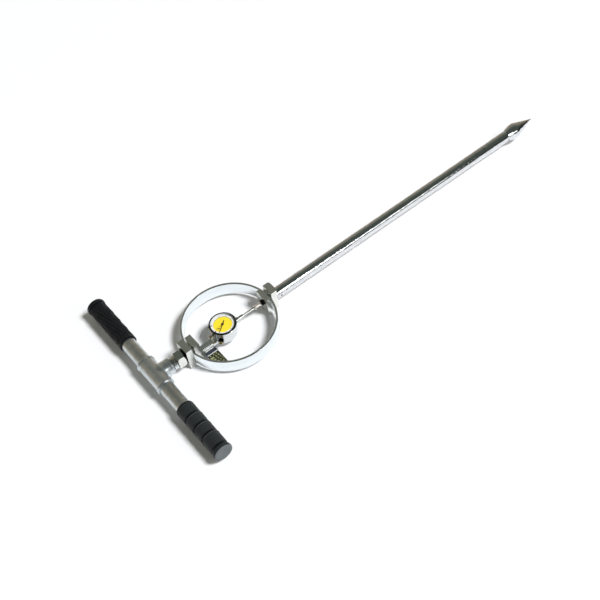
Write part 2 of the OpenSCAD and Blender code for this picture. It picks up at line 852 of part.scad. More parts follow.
// Teeth are cut into the plunger's side that faces the first arbor
module plunger() {
    rack_count = floor(rack_run / rack_pitch);
    color("#c2c5c6") in_gauge() difference() {
        along_x(-plunger_tail) cylinder(d = plunger_d, h = plunger_tail + contact_reach - contact_l);
        translate([arbor_x - rack_run, -rack_line - addendum - plunger_d, -plunger_d])
            cube([2 * rack_run, plunger_d, 2 * plunger_d]);
        for (i = [-rack_count:rack_count])
            translate([arbor_x + i * rack_pitch, -rack_line, -plunger_d]) linear_extrude(2 * plunger_d)
                polygon([
                    [-(1 / 2 + tooth_shares[1]) * rack_pitch, -addendum - fit],
                    [(1 / 2 + tooth_shares[1]) * rack_pitch, -addendum - fit],
                    [(1 / 2 + tooth_shares[0]) * rack_pitch, dedendum],
                    [-(1 / 2 + tooth_shares[0]) * rack_pitch, dedendum]
                ]);
        translate([spring_pin_x, 0, 0]) along_y(1) cylinder(d = spring_pin_d + 2 * fit, h = plunger_d);
    }
}

module spring_pin() {
    color("#9a9d9f") in_gauge() translate([spring_pin_x, 0, 0]) along_y(1) translate([0, 0, fit])
        cylinder(d = spring_pin_d, h = spring_y + spring_d / 2);
}

// Turned tip that rests on the anvil
module contact_point() {
    color("#c2c5c6") in_gauge() along_x(contact_reach - contact_l) rotate_extrude() polygon([
        [0, 0],
        [contact_d / 2, 0],
        [contact_d / 2, contact_l / 2],
        [contact_ball_share * contact_d, contact_l],
        [0, contact_l]
    ]);
}

module rack_pinion() {
    color("#c9a24d") in_gauge() translate([arbor_x, arbor_y, 0]) {
        translate([0, 0, arbor_foot_z]) cylinder(d = arbor_d, h = counter_z + hand_t - arbor_foot_z);
        translate([0, 0, -rack_pinion_t / 2]) gear(rack_teeth, rack_pinion_r, rack_pinion_t, 90);
    }
}

module drive_wheel() {
    color("#c9a24d") in_gauge() translate([arbor_x, arbor_y, wheel_z]) difference() {
        gear(wheel_teeth, wheel_r, wheel_t, mesh_angle + 180 + 180 / wheel_teeth);
        translate([0, 0, -over]) cylinder(d = arbor_d + 2 * fit, h = wheel_t + 2 * over);
    }
}

// A flat hand along X with a pointed tip, a tail and a hub
module hand(l, tail, w, hub_d, bore, t) {
    difference() {
        linear_extrude(t) {
            polygon([[-tail, -w / 2], [0, -w / 2], [l, -w / 8], [l, w / 8], [0, w / 2], [-tail, w / 2]]);
            circle(d = hub_d);
        }
        translate([0, 0, -over]) cylinder(d = bore, h = t + 2 * over);
    }
}

module counter_pointer() {
    color("#2b2b2b") in_gauge() translate([arbor_x, arbor_y, counter_z]) rotate([0, 0, counter_at])
        hand(counter_l, counter_hub_d / 2, counter_w, counter_hub_d, arbor_d + 2 * fit, hand_t);
}

module centre_pinion() {
    color("#c9a24d") in_gauge() {
        translate([0, 0, bridge_z]) cylinder(d = centre_d, h = hand_z + hand_t - bridge_z);
        translate([0, 0, wheel_z]) gear(pinion_teeth, pinion_r, wheel_t, mesh_angle);
    }
}

module main_pointer() {
    color("#2b2b2b") in_gauge() translate([0, 0, hand_z]) rotate([0, 0, hand_at])
        hand(hand_l, hand_tail_l, hand_w, hand_hub_d, centre_d + 2 * fit, hand_t);
}

// Turning rim: a skirt on the case, a ledge for the scale ring and a groove for the crystal
module bezel() {
    color("#c4c8ca") in_gauge() rotate_extrude() polygon([
        [case_r + run, bezel_z],
        [bezel_r, bezel_z],
        [bezel_r, bezel_top - bezel_bevel],
        [bezel_r - bezel_bevel, bezel_top],
        [bezel_r - bezel_lip_w, bezel_top],
        [bezel_r - bezel_lip_w, crystal_z + crystal_t + fit],
        [crystal_r + fit, crystal_z + crystal_t + fit],
        [crystal_r + fit, crystal_z - fit],
        [scale_r1 + fit, crystal_z - fit],
        [scale_r1 + fit, scale_z - fit],
        [scale_r1 - gap, scale_z - fit],
        [scale_r1 - gap, case_high + gap],
        [case_r + run, case_high + gap]
    ]);
}

module crystal() {
    color("#e8eef2", 0.3) in_gauge() translate([0, 0, crystal_z]) cylinder(r = crystal_r, h = crystal_t);
}

module scale_ring() {
    color("#f2f3f1") in_gauge() translate([0, 0, scale_z]) tube(2 * scale_r1, 2 * scale_r0, face_t);
}

// A clip over the bezel's edge with a finger across the scale
module limit_marker(at) {
    color("#17181a") in_gauge() rotate([0, 0, at - marker_angle / 2]) rotate_extrude(angle = marker_angle)
        polygon([
            [marker_r0, bezel_top + run],
            [bezel_r + run + marker_t, bezel_top + run],
            [bezel_r + run + marker_t, bezel_top - marker_hook_l],
            [bezel_r + run + 2 * marker_t, bezel_top - marker_hook_l],
            [bezel_r + run + 2 * marker_t, bezel_top + run + marker_t],
            [marker_r0, bezel_top + run + marker_t]
        ]);
}

module limit_marker_low() {
    limit_marker(marker_low_at);
}

module limit_marker_high() {
    limit_marker(marker_high_at);
}

// Black block on the case, beside the bezel's skirt
module bezel_clamp() {
    color("#151617") in_gauge() rotate([0, 0, clamp_at]) difference() {
        translate([case_r - case_wall, -clamp_w / 2, clamp_z0])
            cube([case_wall + clamp_reach, clamp_w, clamp_z1 - clamp_z0]);
        translate([0, 0, clamp_z0 - over]) cylinder(r = case_r + fit, h = clamp_z1 - clamp_z0 + 2 * over);
        translate([0, 0, (clamp_z0 + clamp_z1) / 2]) along_x(case_r)
            cylinder(d = clamp_screw_d + 2 * run, h = case_r);
    }
}

module clamp_screw() {
    color("#b98b3e") in_gauge() rotate([0, 0, clamp_at]) translate([0, 0, (clamp_z0 + clamp_z1) / 2]) {
        along_x(case_r + gap) cylinder(d = clamp_screw_d, h = clamp_reach);
        along_x(case_r + clamp_reach + run) cylinder(d1 = clamp_head_d, d2 = clamp_rim_d, h = clamp_head_l);
    }
}

module rod_inner_block() {
    color("#6f756f") on_floor() difference() {
        intersection() {
            translate([rod_inner_x, -rod_inner_w / 2, -axis_h])
                cube([rod_inner_t + ring_t, rod_inner_w, rod_inner_h]);
            inside_ring();
        }
        screw_holes(rod_inner_x, 1);
        along_x(rod_inner_x - over) cylinder(d = anvil_d + 2 * run, h = rod_inner_t + ring_t);
    }
}

// Plan of the outer block with round upright edges
module rod_outer_plan() {
    back_x = ring_x1 - over;
    translate([back_x, -rod_outer_w / 2]) square([rod_x - back_x - rod_outer_r, rod_outer_w]);
    translate([back_x, -rod_outer_w / 2 + rod_outer_r])
        square([rod_x - back_x, rod_outer_w - 2 * rod_outer_r]);
    for (side = [-1, 1])
        translate([rod_x - rod_outer_r, side * (rod_outer_w / 2 - rod_outer_r)]) circle(r = rod_outer_r);
}

module rod_outer_block() {
    color("#6c6f69") on_floor() difference() {
        translate([0, 0, -block_h / 2]) linear_extrude(block_h) rod_outer_plan();
        saddle();
        along_x(rod_x - rod_end_l) cylinder(d = rod_end_d + 2 * fit, h = rod_end_l + over);
        at_screws() along_x(ring_x1 - over) cylinder(d = screw_d + 2 * fit, h = screw_in_l + over);
    }
}

module rod_clamp_screws() {
    color("#b9bcbe") on_floor() at_screws() along_x(rod_inner_x)
        cap_screw(screw_d, screw_head_d, screw_head_h, rod_inner_t - screw_head_h + screw_l - gap);
}

// Flat-headed screw that the plunger rests on
module anvil_screw() {
    color("#bfc2c4") on_floor() {
        along_x(anvil_x) cylinder(d1 = anvil_head_d - 2 * anvil_edge, d2 = anvil_head_d, h = anvil_edge);
        along_x(anvil_x + anvil_edge) cylinder(d = anvil_head_d, h = anvil_head_t - anvil_edge);
        along_x(anvil_x) cylinder(d = anvil_d, h = rod_inner_x + rod_inner_t - gap - anvil_x);
    }
}

module anvil_nut() {
    color("#1b1c1e") on_floor() along_x(rod_inner_x - anvil_nut_t)
        hex_nut(anvil_nut_af, anvil_d + 2 * run, anvil_nut_t);
}

module rod() {
    color("#a7aba9") on_floor() difference() {
        union() {
            along_x(rod_x) cylinder(d = rod_d, h = rod_l);
            along_x(rod_x - rod_end_l + gap) cylinder(d = rod_end_d, h = rod_l + 2 * rod_end_l - 2 * gap);
        }
        for (i = [0:mark_count - 1]) along_x(tip_x - mark_first - i * mark_pitch - mark_w / 2)
            tube(rod_d + over, rod_d - 2 * mark_h, mark_w);
        translate([rod_x + tommy_x, 0, 0]) along_y(1)
            translate([0, 0, -rod_d]) cylinder(d = tommy_d, h = 2 * rod_d);
    }
}

module cone_holder() {
    color("#9fa3a1") on_floor() difference() {
        union() {
            along_x(holder_x) cylinder(d = holder_d, h = holder_l - holder_edge);
            along_x(neck_x - holder_edge)
                cylinder(d1 = holder_d, d2 = holder_d - 2 * holder_edge, h = holder_edge);
        }
        along_x(holder_x - over) cylinder(d = rod_end_d + 2 * fit, h = rod_end_l + over);
        along_x(neck_x - stud_l) cylinder(d = stud_d + 2 * run, h = stud_l + over);
    }
}

module cone() {
    color("#7c807c") on_floor() along_x(neck_x) {
        translate([0, 0, gap - stud_l]) cylinder(d = stud_d, h = stud_l);
        rotate_extrude() polygon([
            [0, 0],
            [neck_d / 2, 0],
            [neck_d / 2, neck_l],
            [shoulder_d / 2, neck_l],
            [cone_d / 2, neck_l + cone_rear_l],
            [cone_d / 2, neck_l + cone_rear_l + cone_land_l],
            [0, neck_l + cone_rear_l + cone_land_l + cone_front_l]
        ]);
    }
}

grip_left();
grip_right();
handle_tube_left();
handle_tube_right();
pipe_tee();
nipple();
lock_nut();
spring_washer();
handle_outer_block();
handle_inner_block();
handle_clamp_screws();
proving_ring();
gauge_bracket();
bracket_screws();
rating_plate();
plate_rivets();
gauge_fixing_screw();
gauge_case();
back_cover();
cover_screws();
gauge_stem();
dust_cap();
movement_plate();
dial_face();
return_spring();
plunger();
spring_pin();
contact_point();
rack_pinion();
drive_wheel();
counter_pointer();
centre_pinion();
main_pointer();
bezel();
crystal();
scale_ring();
limit_marker_low();
limit_marker_high();
bezel_clamp();
clamp_screw();
rod_inner_block();
rod_outer_block();
rod_clamp_screws();
anvil_screw();
anvil_nut();
rod();
cone_holder();
cone();
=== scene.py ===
# %% [markdown]
# # A soil penetrometer, dressed for its picture
# The real tool is a T handle, a spring-steel ring with a dial gauge inside it, and a long rod with a
# steel cone. The solids come from CAD and are already the right shape and size, so this lesson keeps
# most of them, gives each a real finish, and models again only what a solid shows too plainly: the
# rubber grips, the ring's rounded band, the cast tee, the thread, the cone, the anvil and two small
# knobs. Last come a painted dark reflection on the bezel, the lacquer and the print on the gauge and
# on its plate.

# %% Load the solids
import math

import bpy
from mathutils import Matrix, Vector


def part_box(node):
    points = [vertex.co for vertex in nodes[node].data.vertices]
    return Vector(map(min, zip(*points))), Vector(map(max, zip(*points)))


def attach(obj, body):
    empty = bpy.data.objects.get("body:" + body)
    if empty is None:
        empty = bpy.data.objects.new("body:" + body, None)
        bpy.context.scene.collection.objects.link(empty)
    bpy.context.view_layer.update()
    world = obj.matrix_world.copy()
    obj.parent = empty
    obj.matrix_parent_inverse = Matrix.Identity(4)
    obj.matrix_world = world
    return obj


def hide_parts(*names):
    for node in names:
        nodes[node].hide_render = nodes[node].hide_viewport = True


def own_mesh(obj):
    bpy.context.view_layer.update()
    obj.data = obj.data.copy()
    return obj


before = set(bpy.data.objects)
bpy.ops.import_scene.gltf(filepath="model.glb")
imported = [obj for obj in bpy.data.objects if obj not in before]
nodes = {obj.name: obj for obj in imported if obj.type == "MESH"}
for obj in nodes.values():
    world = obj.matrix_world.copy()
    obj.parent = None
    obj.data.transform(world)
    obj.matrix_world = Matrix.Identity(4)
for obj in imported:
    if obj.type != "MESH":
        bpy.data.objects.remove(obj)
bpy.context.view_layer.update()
MM = 0.001

# %% [markdown]
# ## The camera
# The picture was taken from behind the handle and to one side, looking down at about fifty degrees,
# with the tool running up to the right. A camera can be aimed by a constraint, but plain turns are
# easier to follow. They are read from the last one up: the camera starts by looking straight down, is
# rolled about its own line of sight, tilted up, swung round the upright axis and moved to its place.

# %% Camera
EYE = Vector((-0.80414, -1.13360, 1.62621))
AZIMUTH, ELEVATION, ROLL = -30.1197, 51.8308, -10.1802
SENSOR_MM, LENS_MM = 36.0, 63.288
azimuth, elevation, roll = (math.radians(a) for a in (AZIMUTH, ELEVATION, ROLL))
camera = bpy.data.objects.new("camera", bpy.data.cameras.new("camera"))
bpy.context.scene.collection.objects.link(camera)
camera.data.sensor_width = SENSOR_MM
camera.data.lens = LENS_MM
camera.matrix_world = (
    Matrix.Translation(EYE)
    @ Matrix.Rotation(azimuth, 4, "Z")
    @ Matrix.Rotation(math.pi / 2 - elevation, 4, "X")
    @ Matrix.Rotation(roll, 4, "Z")
)
bpy.context.scene.camera = camera
print("camera stands", round(EYE.length, 2), "m from the middle of the tool")

# %% [markdown]
# ## Colours and nodes
# Paint charts and photographs give colours as sRGB hex values, but shaders work in linear light, so
# one function turns the first into the second. A second one adds a node to a tree: what is named in
# `sockets` is either a plain value or the output of another node, and then it becomes a link.

# %% Colour and node helpers
def linear(hex_colour):
    """An sRGB hex value such as #B0B4B2 as linear red, green, blue and alpha."""
    parts = [int(hex_colour[i:i + 2], 16) / 255 for i in (1, 3, 5)]
    return tuple(c / 12.92 if c <= 0.04045 else ((c + 0.055) / 1.055) ** 2.4 for c in parts) + (1.0,)


def add_node(owner, kind, sockets=None, **settings):
    """Adds a shader node to a material or world, with its settings, values and links."""
    tree = owner.node_tree
    node = tree.nodes.new("ShaderNode" + kind)
    for name, value in settings.items():
        setattr(node, name, value)
    for name, value in (sockets or {}).items():
        if isinstance(value, bpy.types.NodeSocket):
            tree.links.new(value, node.inputs[name])
        else:
            node.inputs[name].default_value = value
    return node


print("middle grey in linear light:", round(linear("#808080")[0], 3))

# %% [markdown]
# ## The studio
# Bare metal has no colour of its own to speak of: it shows the room. The long round rod is the best
# witness of the room in the picture, because its reflection sweeps from the floor behind it, over the
# ceiling, to the floor in front. It shows a dim warm wall behind, a dark ceiling, and on the camera's
# side a white window above a dark horizon, low and wide along most of the rod and taller near the ring.
# So the world has two stacks of bands by height, one for each side, and passes softly from one to the
# other, and the windows are two rectangular lamps. One wide sun from the front right gives the soft
# shadows inside the ring. It is kept out of the metal's reflections, where its disc would lay a hard
# glint along the rod that the picture does not have. The floor is matt white paper. A faint glow that
# only the camera and reflections see lifts it to a clean white, and its shadows stay.

# %% World
scene = bpy.context.scene
scene.view_settings.view_transform = "Standard"
world = bpy.data.worlds.new("studio_room")
scene.world = world
world.use_nodes = True
place = add_node(world, "SeparateXYZ", {0: add_node(world, "TexCoord").outputs["Generated"]})
CAMERA_SIDE = ((0.00, "#242822"), (0.30, "#2A2E28"), (0.55, "#4A504A"), (1.00, "#4C524C"))
WALL_SIDE = (
    (0.00, "#A8977F"), (0.25, "#A5957F"), (0.45, "#9B907F"), (0.62, "#8F8A7C"), (0.72, "#808078"),
    (0.82, "#686D66"), (0.95, "#525851"), (1.00, "#4C524C"),
)


def bands(colours):
    """A stack of colours by height, from the horizon at 0 to straight up at 1."""
    ramp = add_node(world, "ValToRGB", {0: place.outputs["Z"]})
    stops = ramp.color_ramp.elements
    while len(stops) < len(colours):
        stops.new(1.0)
    for stop, (level, colour) in zip(stops, colours):
        stop.position, stop.color = level, linear(colour)
    return ramp.outputs["Color"]


PASS_FROM, PASS_TO = -0.25, 0.45
behind = add_node(
    world, "MapRange", {"Value": place.outputs["Y"], "From Min": PASS_FROM, "From Max": PASS_TO}
)
room = add_node(
    world, "Mix", {0: behind.outputs[0], 6: bands(CAMERA_SIDE), 7: bands(WALL_SIDE)}, data_type="RGBA"
)
world.node_tree.links.new(room.outputs[2], world.node_tree.nodes["Background"].inputs["Color"])
print("room bands:", len(CAMERA_SIDE), "on the camera's side and", len(WALL_SIDE), "on the wall's")

# %% Sun and windows
SUN_POWER, SUN_WIDTH = 3.7, 15
sun = bpy.data.objects.new("soft_sun", bpy.data.lights.new("soft_sun", "SUN"))
scene.collection.objects.link(sun)
sun.data.energy = SUN_POWER
sun.data.angle = math.radians(SUN_WIDTH)
sun.visible_glossy = False
to_sun = Vector((0.36, -0.44, 0.82))
sun.rotation_euler = to_sun.to_track_quat("Z", "Y").to_euler()

WINDOW_AWAY, WINDOW_GLOW = 2.0, 4.0
WINDOWS = (
    ("low_window", (0.95, 0.24), (0.34, -0.85, 0.385)),
    ("tall_window", (0.46, 0.86), (0.20, -0.84, 0.49)),
)
for name, size, toward in WINDOWS:
    to_window = Vector(toward).normalized()
    window = bpy.data.objects.new(name, bpy.data.lights.new(name, "AREA"))
    scene.collection.objects.link(window)
    window.data.shape = "RECTANGLE"
    window.data.size, window.data.size_y = size
    window.data.energy = WINDOW_GLOW * math.pi * size[0] * size[1]
    window.location = to_window * WINDOW_AWAY
    window.rotation_euler = to_window.to_track_quat("Z", "Y").to_euler()
print("sun at", round(math.degrees(math.asin(to_sun.normalized().z))), "degrees, windows:", len(WINDOWS))

# %% Floor
FLOOR_SIZE, FLOOR_DROP, FLOOR_GLOW = 8.0, 0.2, 0.06
bpy.ops.object.select_all(action="DESELECT")
bpy.ops.mesh.primitive_plane_add(size=FLOOR_SIZE, location=(0, 0, -FLOOR_DROP * MM))
floor = bpy.context.object
floor.name = "floor"
paper = bpy.data.materials.new("White_paper_floor")
paper.use_nodes = True
shader = paper.node_tree.nodes["Principled BSDF"]
shader.inputs["Base Color"].default_value = linear("#F4F5F8")
shader.inputs["Roughness"].default_value = 0.9
path = add_node(paper, "LightPath")
seen = add_node(
    paper, "Math",
    {0: path.outputs["Is Camera Ray"], 1: path.outputs["Is Glossy Ray"]}, operation="MAXIMUM",
)
seen = add_node(
    paper, "Math", {0: seen.outputs[0], 1: path.outputs["Is Transmission Ray"]}, operation="MAXIMUM",
)
share = add_node(paper, "Math", {0: seen.outputs[0], 1: FLOOR_GLOW}, operation="MULTIPLY")
glow = add_node(paper, "Emission")
mixed = add_node(paper, "MixShader", {0: share.outputs[0], 1: shader.outputs[0], 2: glow.outputs[0]})
paper.node_tree.links.new(mixed.outputs[0], paper.node_tree.nodes["Material Output"].inputs["Surface"])
floor.data.materials.append(paper)
print("floor", tuple(round(s, 2) for s in floor.dimensions[:2]), "m")

# %% [markdown]
# ## Worked metal
# Drawn, rolled, turned and ground steel all carry fine lines left by the tool that made them, and a
# slow cloudiness from handling. One recipe serves them all: a noise squeezed across the lines and
# stretched along them, in real millimetres, shifts the colour, the gloss and the surface a little.
# The true lines are hundredths of a millimetre apart, far too fine for the picture, so they are drawn
# about a millimetre wide. A long bar that was straightened and polished by hand has a slow swell too,
# which breaks up the reflections along it. A noise seldom leaves the middle of its range, so that part
# is spread out wherever it drives a colour or the gloss.

# %% Worked metal
NOISE_SPAN = {"From Min": 0.3, "From Max": 0.7}


def worked_metal(name, pale, deep, line, dull, relief=0.02, cloud=14.0, swell=0.0):
    """line: one streak along x, y and z. dull: least and most roughness. Sizes are in millimetres."""
    metal = bpy.data.materials.new(name)
    metal.use_nodes = True
    shader = metal.node_tree.nodes["Principled BSDF"]
    shader.inputs["Metallic"].default_value = 1.0
    place = add_node(metal, "TexCoord").outputs["Object"]
    lines = add_node(metal, "Mapping", {"Vector": place, "Scale": [1 / (mm * MM) for mm in line]})
    streaks = add_node(metal, "TexNoise", {"Vector": lines.outputs[0], "Scale": 1.0, "Detail": 3.0})
    clouds = add_node(metal, "TexNoise", {"Vector": place, "Scale": 1 / (cloud * MM), "Detail": 2.0})
    tint = add_node(metal, "MapRange", {"Value": streaks.outputs[0], **NOISE_SPAN})
    colour = add_node(
        metal, "Mix", {0: tint.outputs[0], 6: linear(deep), 7: linear(pale)}, data_type="RGBA"
    )
    gloss = add_node(
        metal, "MapRange",
        {"Value": clouds.outputs[0], **NOISE_SPAN, "To Min": dull[0], "To Max": dull[1]},
    )
    fine = add_node(
        metal, "Bump", {"Height": streaks.outputs[0], "Strength": 0.5, "Distance": relief * MM}
    )
    links = metal.node_tree.links
    links.new(colour.outputs[2], shader.inputs["Base Color"])
    links.new(gloss.outputs[0], shader.inputs["Roughness"])
    links.new(fine.outputs[0], shader.inputs["Normal"])
    if swell:
        wave = add_node(
            metal, "Bump", {"Height": clouds.outputs[0], "Strength": 0.5, "Distance": swell * MM}
        )
        links.new(wave.outputs[0], fine.inputs["Normal"])
    return metal


zinc = worked_metal("Bright_zinc_plate_rolled", "#F3F7F9", "#E4EBEE", (60, 60, 1.2), (0.14, 0.24), 0.008)
milled = worked_metal("Mild_steel_milled", "#F2F3EF", "#DEE0D9", (1.1, 26, 26), (0.16, 0.26))
drawn = worked_metal(
    "Bright_drawn_steel", "#ECEEF0", "#D1D4D7", (13, 1.8, 1.8), (0.06, 0.14), 0.12, cloud=7.0, swell=1.0
)
turned_steel = worked_metal("Steel_turned_and_polished", "#E8EAE8", "#CDD1CE", (0.7, 20, 20), (0.06, 0.14))
ground = worked_metal("Steel_bar_ground", "#EDF1F2", "#D2D8DB", (34, 0.8, 0.8), (0.10, 0.20))
plated = worked_metal("Screw_steel_zinc_plated", "#E8EBEB", "#CED2D2", (6, 6, 0.6), (0.16, 0.28))
chrome = worked_metal("Satin_chrome_plate", "#ECEEEF", "#DADDDE", (30, 30, 0.7), (0.16, 0.28), 0.006)
brass = worked_metal("Brass_turned", "#F0E2BE", "#D2BA8C", (0.5, 12, 12), (0.16, 0.30))
nickel_silver = worked_metal("Nickel_silver_turned", "#E4DECC", "#BDB59F", (0.5, 12, 12), (0.12, 0.26))
blackened = worked_metal("Steel_black_oxide", "#2C2D2E", "#17181A", (9, 9, 9), (0.34, 0.52))
print("worked metals, from", zinc.name, "to", blackened.name)

# %% [markdown]
# ## Galvanised pipe
# Pipe and fittings are dipped in molten zinc. The zinc freezes in flat crystals a few millimetres
# across, called spangle, each a slightly different grey, over a faintly lumpy skin. Voronoi cells give
# the crystals and a noise gives the lumps. In use the zinc grows a dull grey patina that scatters light
# as paint does, more on a rough casting than on a smooth pipe, so the skin is a little less than metal.
# The anvil screw has a thin dull zinc of the same kind, whose finer crystals are drawn a millimetre wide.

# %% Galvanised steel
SKIN_RELIEF = 0.012


def galvanised_skin(name, pale, deep, dull, patina, spangle=5.0, lump=3.0):
    """dull: least and most roughness. patina: share of dull oxide. spangle and lump in millimetres."""
    skin = bpy.data.materials.new(name)
    skin.use_nodes = True
    shader = skin.node_tree.nodes["Principled BSDF"]
    shader.inputs["Metallic"].default_value = 1 - patina
    place = add_node(skin, "TexCoord").outputs["Object"]
    cells = add_node(skin, "TexVoronoi", {"Vector": place, "Scale": 1 / (spangle * MM)})
    cell_grey = add_node(skin, "SeparateColor", {0: cells.outputs["Color"]})
    lumps = add_node(skin, "TexNoise", {"Vector": place, "Scale": 1 / (lump * MM), "Detail": 4.0})
    colour = add_node(
        skin, "Mix", {0: cell_grey.outputs[0], 6: linear(deep), 7: linear(pale)}, data_type="RGBA"
    )
    gloss = add_node(
        skin, "MapRange",
        {"Value": lumps.outputs[0], **NOISE_SPAN, "To Min": dull[0], "To Max": dull[1]},
    )
    bumps = add_node(
        skin, "Bump", {"Height": lumps.outputs[0], "Strength": 0.5, "Distance": SKIN_RELIEF * MM}
    )
    links = skin.node_tree.links
    links.new(colour.outputs[2], shader.inputs["Base Color"])
    links.new(gloss.outputs[0], shader.inputs["Roughness"])
    links.new(bumps.outputs[0], shader.inputs["Normal"])
    return skin


galvanised = galvanised_skin("Steel_pipe_galvanised", "#CFD5D6", "#C0C7C8", (0.32, 0.40), 0.03)
casting = galvanised_skin("Malleable_iron_galvanised", "#D0D6D9", "#C2C9CC", (0.28, 0.38), 0.07)
dull_zinc = galvanised_skin(
    "Screw_steel_dull_zinc", "#F0E9E2", "#DAD2CA", (0.22, 0.36), 0.30, spangle=1.0, lump=1.0
)
print("galvanised finishes:", galvanised.name, casting.name, dull_zinc.name)

# %% [markdown]
# ## Moulded rubber
# The grips are black rubber, pressed in a mould with a fine matt grain. Rubber is a plain dielectric:
# dark and rather rough. It is greyer where hands have rubbed it on the plain side, and on the end,
# where the ground has rubbed it and a painted sheen lightens it too. The lip crests carry a painted
# highlight, and notches, bark grooves and mouth are kept darkest, fresh rubber with painted shade. Where
# all this lies follows the shape, so the grips carry it as an attribute of their own, from 0 for the
# darkest to 1 for the palest, and the material reads it. The true grain is finer than the picture can
# show, so it is drawn nearly a millimetre wide.

# %% Rubber
GRAIN, GRAIN_RELIEF, BLOOM = 0.9, 0.12, 22.0
rubber = bpy.data.materials.new("Rubber_moulded_black")
rubber.use_nodes = True
shader = rubber.node_tree.nodes["Principled BSDF"]
shader.inputs["IOR"].default_value = 1.52
shader.inputs["Specular IOR Level"].default_value = 0.22
place = add_node(rubber, "TexCoord").outputs["Object"]
grain = add_node(rubber, "TexNoise", {"Vector": place, "Scale": 1 / (GRAIN * MM), "Detail": 3.0})
bloom = add_node(rubber, "TexNoise", {"Vector": place, "Scale": 1 / (BLOOM * MM), "Detail": 3.0})
fresh = add_node(
    rubber, "Mix", {0: bloom.outputs[0], 6: linear("#070A0D"), 7: linear("#111519")}, data_type="RGBA"
)
# The attribute pales the rubber: wear on the plain side, a painted highlight on the lip crests, wear and
# painted sheen on the end; at 0, in the recesses, it is painted shade as well as fresh rubber.
wear_and_painted_light = add_node(rubber, "Attribute", attribute_name="wear_and_painted_light")
colour = add_node(
    rubber, "Mix", {0: wear_and_painted_light.outputs["Fac"], 6: fresh.outputs[2], 7: linear("#6B7173")}, data_type="RGBA"
)
gloss = add_node(rubber, "MapRange", {"Value": grain.outputs[0], "To Min": 0.42, "To Max": 0.62})
skin = add_node(
    rubber, "Bump", {"Height": grain.outputs[0], "Strength": 0.6, "Distance": GRAIN_RELIEF * MM}
)
links = rubber.node_tree.links
links.new(colour.outputs[2], shader.inputs["Base Color"])
links.new(gloss.outputs[0], shader.inputs["Roughness"])
links.new(skin.outputs[0], shader.inputs["Normal"])
print("rubber grain", GRAIN, "mm")

# %% [markdown]
# ## Paint, print and lacquer
# The dial is a printed yellow disc inside a white ring, the hands are lacquered black, and the rating
# plate is enamelled. All of these are thin even coats over metal or card, so one recipe is enough: a
# slight mottle in the colour and a fine tooth in the gloss. The tooth is drawn coarser than it is, so
# that it can show, and the mottle is eight times as wide.

# %% Coats
MOTTLE_TEETH, GLOSS_SWING = 8, 0.08


def coat(name, pale, deep, dull, tooth=0.6):
    """An even coat of ink, lacquer or enamel. tooth: grain of the coat in millimetres."""
    paint = bpy.data.materials.new(name)
    paint.use_nodes = True
    shader = paint.node_tree.nodes["Principled BSDF"]
    shader.inputs["IOR"].default_value = 1.5
    place = add_node(paint, "TexCoord").outputs["Object"]
    mottle_size = tooth * MOTTLE_TEETH * MM
    mottle = add_node(paint, "TexNoise", {"Vector": place, "Scale": 1 / mottle_size, "Detail": 3.0})
    fine = add_node(paint, "TexNoise", {"Vector": place, "Scale": 1 / (tooth * MM), "Detail": 2.0})
    colour = add_node(
        paint, "Mix", {0: mottle.outputs[0], 6: linear(deep), 7: linear(pale)}, data_type="RGBA"
    )
    gloss = add_node(
        paint, "MapRange",
        {"Value": fine.outputs[0], "To Min": dull - GLOSS_SWING, "To Max": dull + GLOSS_SWING},
    )
    paint.node_tree.links.new(colour.outputs[2], shader.inputs["Base Color"])
    paint.node_tree.links.new(gloss.outputs[0], shader.inputs["Roughness"])
    return paint


dial_yellow = coat("Dial_card_yellow_print", "#FFE83C", "#FBDE30", 0.5)
scale_white = coat("Dial_ring_white_print", "#F2F3F2", "#E6E8E8", 0.5)
ink = coat("Printing_ink_black", "#2E2C2A", "#1C1B1A", 0.55)
# A painted reflection: a black coat for the dark room mirrored in the bezel's polished top.
dark_reflection_paint = coat("Bezel_painted_dark_reflection", "#1C1E1D", "#101211", 0.2)
hand_lacquer = coat("Hand_lacquer_black", "#26211F", "#151312", 0.35)
boss_lacquer = coat("Boss_lacquer_brown", "#5A4436", "#3F2F26", 0.35)
plate_enamel = coat("Plate_enamel_black", "#23261F", "#151812", 0.3)
navy_enamel = coat("Plate_enamel_navy", "#3C4450", "#2A313C", 0.3)
green_enamel = coat("Plate_enamel_olive", "#A2A87C", "#878D64", 0.35)
white_enamel = coat("Plate_enamel_white", "#F1F2F0", "#DFE2E0", 0.35)
print("coats, from", dial_yellow.name, "to", white_enamel.name)

# %% [markdown]
# ## The crystal
# The dial's cover is a thin disc of clear acrylic. So it lets light straight through, and Fresnel
# mixes in the faint mirror that acrylic has, with a little haze from handling. Light that isn't bent
# would be caught inside the disc at low angles, so only outer faces mirror.

# %% Crystal
HAZE = 4.0
acrylic = bpy.data.materials.new("Acrylic_clear_polished")
acrylic.use_nodes = True
acrylic.node_tree.nodes.remove(acrylic.node_tree.nodes["Principled BSDF"])
place = add_node(acrylic, "TexCoord").outputs["Object"]
haze = add_node(acrylic, "TexNoise", {"Vector": place, "Scale": 1 / (HAZE * MM), "Detail": 4.0})
gloss = add_node(acrylic, "MapRange", {"Value": haze.outputs[0], "To Min": 0.02, "To Max": 0.12})
clear = add_node(acrylic, "BsdfTransparent")
mirror = add_node(acrylic, "BsdfGlossy", {"Roughness": gloss.outputs[0]})
rim = add_node(acrylic, "Fresnel", {"IOR": 1.49})
inside = add_node(acrylic, "NewGeometry").outputs["Backfacing"]
outside = add_node(acrylic, "Math", {0: 1.0, 1: inside}, operation="SUBTRACT")
shine = add_node(acrylic, "Math", {0: rim.outputs[0], 1: outside.outputs[0]}, operation="MULTIPLY")
mixed = add_node(acrylic, "MixShader", {0: shine.outputs[0], 1: clear.outputs[0], 2: mirror.outputs[0]})
